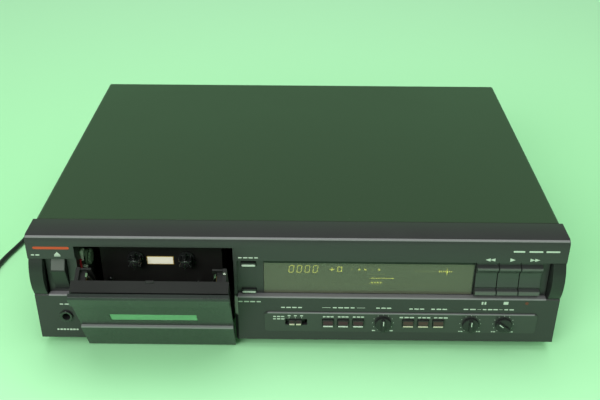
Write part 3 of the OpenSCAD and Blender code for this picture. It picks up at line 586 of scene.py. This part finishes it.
def make_ridge_highlights():
    """Painted highlights: pale strips on the ridges of the three rocker keys and on the eject key's slope,
    where they catch the light.
    """
    for name in ("rewind", "play", "forward"):
        left, right = span(name + "_key")
        ridges = Piece(name + "_key_ridge_highlights", name + "_key_body", "ridge_highlight", slot="key_plastic")
        ridges.along([(-0.35, 52.3), (-0.52, 52.46), (-1.07, 51.42), (-1.07, 49.2), (-0.9, 49.2)],
                     left + 0.3, right - 0.3)
        ridges.along([(-0.25, 74.8), (-0.42, 74.96), (-0.88, 74.02), (-0.84, 73.4), (-0.7, 73.4)],
                     left + 0.3, right - 0.3)
        ridges.done()
    left, right = span("eject_key")
    slope = Piece("eject_key_slope_highlight", "eject_key_body", "ridge_highlight", slot="key_plastic")
    slope.along([(4.3, 78.3), (4.1, 78.34), (-1.12, 69.62), (-1.0, 69.5)], left + 2.2, right - 2.2)
    slope.done()


def make_slider():
    """The timer switch: a ridged cap on a plate behind the strip."""
    place = on_face("timer_slider")
    cap = Piece("timer_slider_cap", "timer_slider_body", "key", "lens", "cream_line", slot="key_plastic")
    cap.prism(rounded(16, 8.8, 0.8), -4.2, -3, place, edge=0.2)
    cap.prism(rounded(4, 2.8, 0.5), -6.6, -4.2, place, edge=0.2)
    cap.prism(rounded(10.8, 5.6, 0.7), -3, 2.4, place, edge=0.4)
    cap.prism(rounded(9.8, 1.7, 0.5, y=1.2), 2.2, 2.55, place, look="lens", edge=0.12)
    cap.prism(rounded(9.8, 1.5, 0.5, y=-1.3), 2.2, 2.9, place, look="cream_line", edge=0.35)
    for x in (-3.6, -1.8, 0, 1.8, 3.6):
        cap.prism(rounded(0.5, 1.7, 0.2, x=x, y=1.2), 2.4, 2.9, place, edge=0.12)
    cap.prism(rounded(1.2, 5.4, 0.4), 2.2, 3.3, place, edge=0.3)
    cap.done("timer_slider")


make_knob("output_knob", 0)
make_knob("balance_knob", 0)
make_knob("record_level_knob", -52)
for number in (1, 2, 3):
    make_small_key(f"tape_key_{number}", "lens", "ink")
    make_small_key(f"filter_key_{number}", "warm_lens", "cream_line")
make_counter_key("counter_reset_key")
make_counter_key("counter_memory_key")
make_ridge_highlights()
make_slider()

# ------------------------------------------------------------------ tape mechanism

WELL_X = sum(span("mechanism_plate")) / 2          # middle of the cassette well
PLATE_Y = (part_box("reel_spindle_left")[1].y - panel_low.y) / MM + 0.4   # face of the mechanism plate


def make_spindle(side):
    """A reel spindle: a flanged hub with six rounded fins and a domed tip."""
    node = f"reel_spindle_{side}"
    place = on_face(node)
    tip = -(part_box(node)[0].y - panel_low.y) / MM
    hub = Piece(node + "_hub", f"{side}_spindle", "gloss", "metal", slot="black_part")
    hub.lathe([(7, tip - 11.2), (7, tip - 9.9), (6.7, tip - 9.6), (5.2, tip - 9.5), (4.2, tip - 9.0),
               (4.2, tip - 1.9), (3.7, tip - 1.0), (2.6, tip - 0.3), (1.2, tip)], place)
    for i in range(6):
        turned = place @ Matrix.Rotation(i * math.pi / 3, 4, "Z")
        hub.prism(rounded(1.8, 3.4, 0.7, y=4.1), tip - 9.6, tip - 1.3, turned, edge=0.55)
    hub.lathe([(1.1, tip - 0.4), (1.1, tip + 0.05), (0.5, tip + 0.3)], place, look="metal", count=20)
    hub.done(node)


def make_well_details():
    """What is fixed behind and beside the well: a label, screws, a lug, wires, a pin and a button."""
    parts = Piece("well_details", "chassis", "cream", "screw", "white", "red_wire", "metal", "tape",
                  slot="white_part")
    parts.prism(rounded(22.6, 8.0, 0.5), 0, 0.12, facing(WELL_X - 1.0, PLATE_Y, 59.6), look="tape")
    parts.prism(rounded(21.4, 6.9, 0.4), 0.05, 0.25, facing(WELL_X - 1.0, PLATE_Y, 59.6))
    for x, z in ((-44, 84), (44, 84), (-45, 40), (45, 40), (-8, 84)):
        parts.screw(facing(WELL_X + x, PLATE_Y, z), 2.2, look="screw")
    # lug with its pin and wires on the left wall of the well
    wall = WELL_X - 63.05
    parts.prism(rounded(2.8, 5.0, 0.8, x=wall + 1.5, y=77), -17, -12.5, ON_PANEL, look="white", edge=0.5)
    parts.prism(rounded(2.4, 3.4, 0.7, x=wall + 1.3, y=72.4), -18, -13.5, ON_PANEL, look="white", edge=0.4)
    parts.lathe([(0.7, 0), (0.7, 2.9), (0.4, 3.1)], Matrix.Translation(at(wall, 13, 70.4)) @ TO_RIGHT,
                look="metal", count=16)
    parts.lathe([(1.5, 0), (1.5, 2.4), (1.1, 2.9), (0.4, 3.1)],
                Matrix.Translation(at(wall, 21, 59)) @ TO_RIGHT, look="white", count=20)
    for k in range(2):
        wire = [(wall + 0.9 + 0.3 * math.sin(t * 2 + k), 73 - 11 * t / 6 - 0.5 * k,
                 -9.6 - 1.5 * k - 0.4 * math.sin(t * 3)) for t in range(8)]
        parts.tube(wire, 0.6, ON_PANEL, look="red_wire")
    parts.done()


def make_heads():
    """Tape guides beside the playback head, brass shims on it, and the head slide's two screws."""
    base = Piece("tape_head_details", "head_slide", "metal", "brass", "white", slot="bright_steel")
    for x in (-9.5, 9.5):
        base.prism(rounded(1.0, 9, 0.4, x=WELL_X + x, y=18), -27.1, -17.6, ON_PANEL, look="white", edge=0.3)
    for x in (-28, 28):
        base.screw(facing(WELL_X + x, 27.2, 16), 2.2)
    for z in (14, 21):
        base.prism(rounded(8.6, 1.0, 0.3, x=WELL_X, y=z), -19.1, -18.7, ON_PANEL, look="brass", edge=0.1)
    base.done()


make_spindle("left")
make_spindle("right")
make_well_details()
make_heads()


def make_door_details():
    """The door's painted highlight strip and painted shade line, and the cassette holder's catch, leaf
    springs and button.
    """
    left, right = span("door_cover")
    # painted highlight along the door's ledge, where it catches the light
    painted_highlight = Piece("door_painted_highlight", "door", "painted_highlight", slot="door_plastic")
    painted_highlight.along([(2.45, 40.3), (2.45, 40.52), (0.78, 40.52), (-0.07, 39.68), (-0.07, 39.4), (0.1, 39.4)],
               left + 0.3, right - 0.3, ON_DOOR)
    painted_highlight.done()
    # painted shade: a near-black line under the door's band, where the band shades the recess
    shade_line = Piece("door_painted_shade", "door", "painted_shade", slot="door_plastic")
    shade_line.along([(2.6, 76.9), (2.42, 76.9), (2.42, 78.65), (2.6, 78.65)], left + 0.3, right - 0.3,
                 ON_DOOR)
    shade_line.done()
    parts = Piece("holder_details", "door", "holder", "metal", slot="holder_plastic")
    parts.prism(rounded(7, 2.4, 0.8, x=WELL_X, y=90.6), -16.6, -14.6, ON_DOOR, edge=0.3)
    for s in (-1, 1):
        edge_x = WELL_X + s * 49.5
        leaf = [(edge_x + s * x, z, -21.5) for x, z in
                ((-0.2, 62), (-0.9, 70), (-1.8, 78), (-0.9, 85), (0.4, 90.4), (1.6, 91.3))]
        parts.tube(leaf, 0, ON_DOOR, look="metal", section=rounded(3.6, 0.35, 0.15), side=(0, 0, 1))
    button = Matrix.Translation(OPENED @ at(WELL_X + 57.7, 23.5, 91)) @ Matrix.Rotation(open_angle, 4, "X")
    parts.lathe([(1.4, 0), (1.2, 0.7), (0.5, 1.1)], button, look="metal", count=20)
    parts.done()


make_door_details()

# ------------------------------------------------------------------ display

TUBE_Y = (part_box("display_tube")[0].y - panel_low.y) / MM
SLANT = 0.14


def make_display():
    """What shows behind the smoked window: counter digits, signs and the level scale."""
    glass = Piece("display_signs", "chassis", "glow", "faint", slot="tube_glass")

    def mark(outline, look=None):
        glass.prism(outline, -0.02, 0.1, facing(0, TUBE_Y, 0), look)

    def bar(x, z, width, height, look=None):
        mark(rounded(width, height, min(width, height) * 0.4, x, z, 2), look)

    wide, high, thick = 3.5, 6.6, 0.62
    for number in range(4):
        x, z = -4.4 + 6.5 * number, 67.3
        for side in (-1, 1):
            for half in (-1, 1):
                cx = x + side * wide / 2 + SLANT * half * high / 4
                outline = rounded(thick, high / 2 - 0.5, 0.2, 0, 0, 2)
                mark([(cx + px + SLANT * py, z + half * high / 4 + py) for px, py in outline])
        for half in (-1, 1):
            bar(x + SLANT * half * high / 2, z + half * high / 2, wide - 0.7, thick)
        bar(x, z, wide - 0.7, thick * 0.8, look="faint")
    # tape sign
    bar(28.6, 67.2, 4.2, 0.7)
    bar(28.6, 67.2, 0.7, 3.4)
    for x in (33.2, 36.4):
        bar(x, 67.4, 0.7, 4.4)
    for z in (69.6, 65.2):
        bar(34.8, z, 4.6, 0.6)
    bar(44.6, 67.2, 2.0, 2.0, look="faint")
    for x in (50.8, 55.6, 66.8):
        bar(x, 67.2, 1.9, 1.9)
    bar(61.4, 67.2, 1.9, 1.9, look="faint")
    for i in range(5):
        bar(60.4 + 2.6 * i, 62.6, 1.8, 1.0, look="faint")
    bar(69.5, 58.8, 20, 0.55)
    bar(65.1, 54.4, 10.6, 3.8, look="faint")
    for i in range(4):
        bar(61.6 + 2.4 * i, 54.4, 1.5, 1.2)
    # level scale
    for i in range(19):
        bar(96.8 + 1.6 * i, 66.0, 0.9, 1.5 if i % 4 else 2.2, look="glow" if i > 11 else "faint")
    bar(122.0, 65.8, 0.6, 6.4)
    for i in range(26):
        bar(-8 + 5.4 * i, 52.6, 3.0, 0.5, look="faint")
    glass.done()


make_display()

# ------------------------------------------------------------------ printed marks

STRIP_LOW, STRIP_HIGH = (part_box("control_strip")[k].z / MM - panel_low.z / MM for k in (0, 1))
STRIP_FOOT, STRIP_BROW = 0.15, 1.3     # how far the strip's face stands out, below and above
STRIP_LEAN = math.atan((STRIP_BROW - STRIP_FOOT) / (STRIP_HIGH - 0.4 - STRIP_LOW))
PRINT = (-0.03, 0.05)          # printed marks start a little inside their surface


def on_panel(x, z):
    return facing(x, 0, z)


def on_strip(x, z):
    y = -STRIP_FOOT - (z - STRIP_LOW) * math.tan(STRIP_LEAN)
    return facing(x, y, z) @ Matrix.Rotation(STRIP_LEAN, 4, "X")


def words(piece, x0, x1, z, count, place=on_panel, height=1.1):
    """A row of plain dashes that stands for a printed label."""
    pitch = (x1 - x0) / count
    for i in range(count):
        width = pitch * (0.82 if i % 3 else 0.68)
        piece.prism(rounded(width, height, height * 0.3, steps=2), *PRINT, place(x0 + (i + 0.5) * pitch, z))


def triangle(width, height):
    return [(-width / 2, -height / 2), (width / 2, 0), (-width / 2, height / 2)]


def make_painted_light():
    """Painted highlights: pale strips along the panel's ledge, along the upper edge of the control strip and
    along the panel's top front edge, where light catches them.
    """
    painted_highlight = Piece("panel_painted_highlight", "chassis", "painted_highlight", slot="fascia_plastic")
    ledge = [(5.4, 44.4), (5.4, 44.62), (0.78, 44.62), (-0.07, 43.78), (-0.07, 43.5), (0.1, 43.5)]
    for x0, x1 in ((-203.2, WELL_X - 63.3), (WELL_X + 65.9, 203.7)):
        painted_highlight.along(ledge, x0, x1)
    left, right = span("control_strip")
    brow = [(0.05, -0.1), (0.05, 0.1), (-1.05, 0.1), (-1.38, -0.33), (-1.36, -0.7), (-1.2, -0.7)]
    painted_highlight.along([(y, STRIP_HIGH + z) for y, z in brow], left + 2.6, right - 2.6)
    rim_top = (panel_high.z - panel_low.z) / MM
    half = (panel_high.x - panel_low.x) / 2 / MM
    painted_highlight.along([(2.75, rim_top - 0.95), (2.7, rim_top - 0.62), (1.12, rim_top - 1.34), (0.92, rim_top - 1.8),
                (1.3, rim_top - 1.8)], -half + 0.4, half - 0.4)
    painted_highlight.done()

    # painted shade over the display window, where the panel's overhang shades it, and a painted highlight on
    # the bevel beside the door
    dark = Piece("window_painted_shade", "chassis", "painted_shade", "bevel_highlight", slot="fascia_plastic")
    window_low, window_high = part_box("display_window")
    window_y = (window_low.y - panel_low.y) / MM
    window_top = (window_high.z - panel_low.z) / MM
    dark.along([(window_y + 0.2, window_top - 4.9), (window_y - 0.08, window_top - 4.9),
                (window_y - 0.08, window_top), (window_y + 0.2, window_top)],
               window_low.x / MM + 0.1, window_high.x / MM - 0.1)
    # painted highlight on the bevel at the right of the door's opening
    edge, bevel, out = WELL_X + 63.1, 2.6, 0.06
    dark.rings([[(edge - out, z, -bevel * wide), (edge + bevel - out, z, out), (edge + bevel, z, -0.1),
                 (edge + 0.1, z, -bevel * wide)] for z, wide in ((44.2, 1.0), (26.0, 0.96))],
               ON_PANEL, look="bevel_highlight")
    dark.done()


def make_panel_marks():
    marks = Piece("panel_marks", "chassis", "ink", "red_ink", "dim_red", slot="white_part")

    def sign(outline, x, z, turn=0, look=None):
        marks.prism(outline, *PRINT, facing(x, 0, z, turn), look)

    # left end, right end, height on the panel, number of dashes and their height
    for x0, x1, z, count, height in (
            (169, 209, 90.9, 3, 1.5), (-212.4, -204.6, 83.6, 2, 1.1), (-196.2, -187.7, 35.1, 2, 1.1),
            (-201.6, -182.8, 8.8, 7, 1.6), (-47.4, -30.2, 82.8, 4, 1.1), (-48.6, -28.6, 39.6, 4, 1.1),
            (-13.6, 5.2, 34.0, 4, 1.1), (29, 48.6, 34.2, 4, 1.1), (64.8, 78.4, 34.2, 3, 1.1),
            (92, 105.6, 33.6, 3, 1.1), (110, 124.4, 33.6, 3, 1.1), (136.5, 148, 33.8, 2, 1.1),
            (152.5, 166, 33.8, 3, 1.1), (170.2, 179.2, 33.8, 2, 1.1)):
        words(marks, x0, x1, z, count, height=height)
    # plain bar at the top left, and the eject sign
    sign(rounded(29, 2.3, 1.1), -195.1, 90.3, look="red_ink")
    sign(triangle(3.0, 5.0), -190.8, 85.2, turn=-90)
    sign(rounded(5.0, 0.9, 0.2), -190.8, 82.9)
    # lines that join labels
    for x0, x1 in ((21, 28), (49.6, 56.4), (148.8, 151.8), (166.6, 169.6)):
        sign(rounded(x1 - x0, 0.35, 0.1, steps=1), (x0 + x1) / 2, 34.2 if x1 < 60 else 33.8)
    # rewind, play and fast forward signs, then pause, stop and record
    for x in (151.9, 155.7):
        sign(triangle(4.0, 3.0), x, 83.0, turn=180)
    sign(triangle(4.2, 3.4), 171.6, 83.0)
    for x in (187.4, 191.2):
        sign(triangle(4.0, 3.0), x, 83.0)
    for x in (152.3, 154.7):
        sign(rounded(1.4, 2.9, 0.2), x, 40.2)
    sign(rounded(3.9, 2.9, 0.2), 171.5, 40.4)
    sign(circle(1.5, 20), 188.6, 40.4, look="dim_red")
    marks.done()

    strip = Piece("strip_marks", "chassis", "ink", slot="white_part")
    for x0, x1 in ((21.3, 31), (33.7, 43.3), (46.1, 56.2), (84.5, 97.6), (100, 111), (113, 125.4)):
        words(strip, x0, x1, 25.6, 3, on_strip, height=1.3)
    words(strip, -20, -9.8, 25.4, 3, on_strip)
    words(strip, -20, -9.8, 22.8, 3, on_strip)
    for x in (-6.2, -1.0, 4.2):
        words(strip, x - 1.8, x + 1.8, 26.4, 1, on_strip)
        strip.prism(rounded(0.35, 1.6, 0.1, steps=1), *PRINT, on_strip(x, 24.4))
    for name in ("output_knob", "balance_knob", "record_level_knob"):
        middle = node_middle(name)
        x, z = middle.x / MM, (middle.z - panel_low.z) / MM
        for i in range(11):
            angle = math.radians(-150 + 30 * i)
            place = on_strip(x + 8.6 * math.sin(angle), z + 8.6 * math.cos(angle))
            strip.prism(circle(0.34, 10), *PRINT, place)
        for side in (-1, 1):
            words(strip, x + side * 7.4 - 2.0, x + side * 7.4 + 2.0, 11.0, 2 if name != "output_knob" else 1,
                  on_strip)
    strip.done()


make_painted_light()
make_panel_marks()

# ------------------------------------------------------------------ sockets, screws, feet and rear

def make_jacks():
    """The four line sockets with coloured insulators, on their plate."""
    middle = node_middle("line_jacks")
    rear = Matrix.Translation((middle.x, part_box("line_jacks")[0].y, middle.z)) @ TO_REAR
    jacks = Piece("line_sockets", "chassis", "black", "gold", "jack_white", "jack_red", "painted_shade", "screw",
                  slot="jack_metal")
    jacks.prism(rounded(74, 24, 2.5), 0, 1.5, rear, edge=0.4)
    for x in (-33, 33):
        jacks.screw(rear @ Matrix.Translation((x * MM, 0, 1.5 * MM)), 2.4, look="screw")
    for i, x in enumerate((-27, -9, 9, 27)):
        spot = rear @ Matrix.Translation((x * MM, 0, 0))
        jacks.prism(circle(5.8, 6), 1.4, 2.9, spot, look="gold", edge=0.3)
        jacks.lathe([(4.15, 1.5), (4.15, 9.1), (3.95, 9.5), (3.5, 9.5), (3.3, 9.1), (3.3, 3)], spot,
                    look="gold")
        jacks.lathe([(3.28, 3), (3.28, 8.2), (2.6, 8.5), (1.9, 8.3), (1.7, 8.0), (1.7, 3.2)], spot,
                    look="jack_white" if i % 2 else "jack_red")
        # painted shade: a near-black disc at the bottom of each socket's middle hole
        jacks.lathe([(1.68, 3.3), (1.68, 3.5)], spot, look="painted_shade", count=20)
    jacks.done("line_jacks")


def make_phones_collar():
    """Glossy collar round the mouth of the headphone socket."""
    middle = node_middle("phones_jack")
    front = (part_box("phones_jack")[0].y - panel_low.y) / MM
    place = facing(middle.x / MM, front, (middle.z - panel_low.z) / MM)
    collar = Piece("phones_collar", "chassis", "gloss", slot="black_part")
    collar.lathe([(5.45, -1.4), (5.45, 0.1), (5.1, 0.45), (4.3, 0.45), (3.5, 0.0), (3.25, -0.8),
                  (3.25, -3.0)], place, caps=False)
    collar.done()


def make_screws():
    screws = Piece("case_screw_heads", "chassis", "screw", slot="black_screw")
    half = 213.3
    rear = (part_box("rear_panel")[1].y - panel_low.y) / MM
    for y in (70, 250):
        screws.screw(Matrix.Translation(at(half, y, 50)) @ TO_RIGHT)
        screws.screw(Matrix.Translation(at(-half, y, 50)) @ TO_LEFT)
    for x, z in ((-195, 94), (0, 94), (195, 94), (-195, 8), (-100, 8), (20, 8), (195, 8)):
        screws.screw(Matrix.Translation(at(x, rear, z)) @ TO_REAR)
    screws.done("case_screws")


def make_feet():
    """Four moulded rubber feet with a screw sunk in each."""
    feet = Piece("rubber_feet", "chassis", "rubber", "screw", slot="rubber_part")
    low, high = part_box("feet")
    for x in (low.x + 15 * MM, high.x - 15 * MM):
        for y in (low.y + 15 * MM, high.y - 15 * MM):
            place = Matrix.Translation((x, y, low.z))
            feet.lathe([(4.4, 5), (4.5, 0.7), (5.0, 0.1), (5.6, 0), (11.0, 0), (11.8, 0.3), (12.3, 0.9),
                        (13.4, 2.2), (13.7, 2.9), (14.2, 5.6), (14.5, 5.8), (14.8, 8.4), (14.95, 10)], place,
                       count=56)
            sunk = place @ Matrix.Translation((0, 0, 5 * MM)) @ Matrix.Rotation(math.pi, 4, "X")
            feet.screw(sunk, 3.3, look="screw")
    feet.done("feet")


def make_rear_details():
    """Outline of a blank rating plate, and a dash over each line socket."""
    rear = (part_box("rear_panel")[1].y - panel_low.y) / MM
    parts = Piece("rear_details", "chassis", "dim_ink", slot="rear_paint")
    plate = Matrix.Translation(at(-60, rear, 52)) @ TO_REAR
    for width, height, x, y in ((64, 0.5, 0, 14), (64, 0.5, 0, -14), (0.5, 28, 32, 0), (0.5, 28, -32, 0),
                                (64, 0.4, 0, 5), (0.4, 19, 8, -4.5)):
        parts.prism(rounded(width, height, 0.15, x, y, 1), *PRINT, plate)
    for x in (70, 88, 106, 124):
        label = Matrix.Translation(at(x, rear + 1.5, 68.5)) @ TO_REAR
        parts.prism(rounded(5, 0.9, 0.3, steps=2), *PRINT, label)
    parts.done()


make_jacks()
make_phones_collar()
make_screws()
make_feet()
make_rear_details()

# ------------------------------------------------------------------ mains lead

CORD_D = 4.6                   # diameter of the lead
COIL_TURNS = 3                 # turns of the lower layer
coil_low, coil_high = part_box("cord_coil")
coil_x = (coil_low.x + coil_high.x) / 2 / MM
coil_y = (coil_low.y + coil_high.y) / 2 / MM
relief_tip = Vector((node_middle("strain_relief").x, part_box("strain_relief")[1].y,
                     node_middle("strain_relief").z)) / MM
rear_y = relief_tip.y - 30
cord_x = relief_tip.x

cord_route = [
    tuple(relief_tip),
    (cord_x, rear_y + 44, 33),
    (cord_x - 3, rear_y + 58, 26),
    (cord_x - 10, rear_y + 70, 15),
    (cord_x - 22, rear_y + 79, 7),
    (cord_x - 38, rear_y + 82, 3.4),
    (cord_x - 56, rear_y + 78, 2.4),
    (cord_x - 74, rear_y + 66, 2.4),
    (cord_x - 90, rear_y + 44, 2.4),
    (-252, 150, 2.4),
    (-262, 118, 2.4),
    (-270, 84, 2.4),
    (-275, 50, 2.4),
    (-280, 16, 2.4),
    (-289.5, -20, 2.4),
    (-294.6, -56, 2.4),
    (-295.2, -80, 2.5),
    (-295.1, -104, 2.5),
]
tail_route = [
    (coil_x - 29.5, coil_y + 14, 7),
    (coil_x - 29.6, coil_y + 20, 5.6),
    (coil_x - 29.4, coil_y + 27, 3.6),
    (coil_x - 27.6, coil_y + 37, 2.7),
    (coil_x - 23.4, coil_y + 48, 3.8),
    (coil_x - 17.5, coil_y + 59, 6.8),
]


def smooth(points, steps):
    """The route's points joined by Catmull-Rom curves."""
    path = []
    for i in range(len(points) - 1):
        a, b, c, d = (Vector(points[min(max(i + k, 0), len(points) - 1)]) for k in (-1, 0, 1, 2))
        for j in range(steps):
            t = j / steps
            path.append(0.5 * (2 * b + (c - a) * t + (2 * a - 5 * b + 4 * c - d) * t ** 2
                               + (3 * b - a - 3 * c + d) * t ** 3))
    return path + [Vector(points[-1])]


def coil_points(per_turn=24, first_r=32.9, low_z=2.5, top_z=7.2, end=5.5, spread=4.8):
    """Turns that wind inwards on the floor, climb at the inside and wind outwards on top."""
    points = []
    climb = COIL_TURNS + 1 / 3
    inner_r = first_r - CORD_D * COIL_TURNS
    for k in range(1, int(end * per_turn)):
        turn = k / per_turn
        if turn <= COIL_TURNS:
            r, z = first_r - CORD_D * turn, low_z
        elif turn <= climb:
            share = (turn - COIL_TURNS) / (climb - COIL_TURNS)
            r, z = inner_r, low_z + (top_z - low_z) * share * share * (3 - 2 * share)
        else:
            r, z = inner_r + spread * (turn - climb), top_z
        angle = -2 * math.pi * turn
        points.append((coil_x + r * math.cos(angle), coil_y + r * math.sin(angle), z))
    return [Vector(p) for p in points]


def make_cord():
    path = smooth(cord_route, 6) + coil_points() + smooth([(coil_x - 29.5, coil_y, 7.2)] + tail_route, 6)
    curve = bpy.data.curves.new("mains_lead", "CURVE")
    curve.dimensions = "3D"
    curve.bevel_depth = CORD_D / 2 * MM
    curve.bevel_resolution = 5
    curve.use_fill_caps = True
    line = curve.splines.new("POLY")
    line.points.add(len(path) - 1)
    for point, place in zip(line.points, path):
        point.co = (*(place * MM), 1)
    line.use_smooth = True
    lead = bpy.data.objects.new("mains_lead", curve)
    scene.collection.objects.link(lead)
    curve.materials.append(LOOK["flex"])
    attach(lead, "chassis")
    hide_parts("mains_cord", "cord_coil")
    length = sum((b - a).length for a, b in zip(path, path[1:])) * MM
    return lead, round(length, 3)


def make_relief():
    """The moulded strain relief: a flange and a ribbed taper."""
    middle = node_middle("strain_relief")
    place = Matrix.Translation((middle.x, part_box("strain_relief")[0].y, middle.z)) @ TO_REAR
    relief = Piece("strain_relief_sleeve", "chassis", "rubber", slot="flex")
    profile = [(6.9, 0), (6.9, 2.2), (6.4, 2.9), (5.7, 3.0)]
    for k in range(9):
        z = 4 + 2.8 * k
        r = 5.6 - 2.5 * (z - 3) / 27
        profile += [(r, z), (r, z + 1.5), (r - 0.9, z + 1.7), (r - 0.9, z + 2.6)]
    relief.lathe(profile + [(3.0, 29.3), (2.7, 29.9), (2.35, 30)], place)
    return relief.done("strain_relief")


def make_tie():
    """A flat twist tie round the turns, its ends twisted together on top."""
    low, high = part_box("cord_tie")
    middle = Vector(((low.x + high.x) / 2, (low.y + high.y) / 2, 0))
    place = Matrix.Translation(middle)
    tie = Piece("lead_tie", "chassis", "black", slot="flex")
    loop = [(0, y, z) for y, z in rounded(19.9, 9.7, 3.2, 0, 5.12, 6)]
    tie.tube(loop + loop[:2], 0, place, section=rounded(3.4, 0.4, 0.15, steps=2), side=(1, 0, 0))
    for phase in (0, math.pi):
        twist = [(0.8 * math.cos(phase + t * 0.9) + 0.3, -2 + t * 0.55,
                  10.7 + 0.7 * math.sin(phase + t * 0.9)) for t in range(26)]
        tie.tube(twist, 0.42, place, count=8)
    return tie.done("cord_tie")


def make_plug():
    """A moulded two-pin plug with a ribbed neck and half-sleeved pins."""
    place = (Matrix.Translation(Vector(tail_route[-1]) * MM) @ Matrix.Rotation(math.radians(-30), 4, "Z")
             @ TO_REAR)
    plug = Piece("moulded_plug", "chassis", "black", "pin", "rubber", slot="black_part")
    neck = [(2.6, 0)]
    for k in range(5):
        r = 3.0 + 0.28 * k
        neck += [(r, 0.4 + 2.6 * k), (r, 2.0 + 2.6 * k), (r - 0.5, 2.2 + 2.6 * k), (r - 0.5, 2.9 + 2.6 * k)]
    plug.lathe(neck + [(4.2, 13.6), (4.4, 15)], place, look="rubber")
    shell = [(4.2, 13.6), (2.2, 14.2), (0.8, 15.6), (0.2, 17.2), (0, 19), (0.5, 24), (0, 30), (0, 32.6),
             (0.5, 33.7), (1.4, 34)]
    plug.rings(ring_steps(rounded(34, 13.6, 5), shell), place)
    for x in (-9.3, 9.3):
        spot = place @ Matrix.Translation((x * MM, 0, 0))
        plug.lathe([(3.1, 33.9), (3.0, 34.6), (1.88, 34.8), (1.88, 43.6), (1.5, 43.8)], spot, count=28)
        plug.lathe([(1.86, 43.4), (1.98, 43.7), (1.98, 51.6), (1.6, 52.6), (0.8, 53)], spot, look="pin",
                   count=28)
    return plug.done("mains_plug")


lead, lead_length = make_cord()
make_relief()
make_tie()
make_plug()
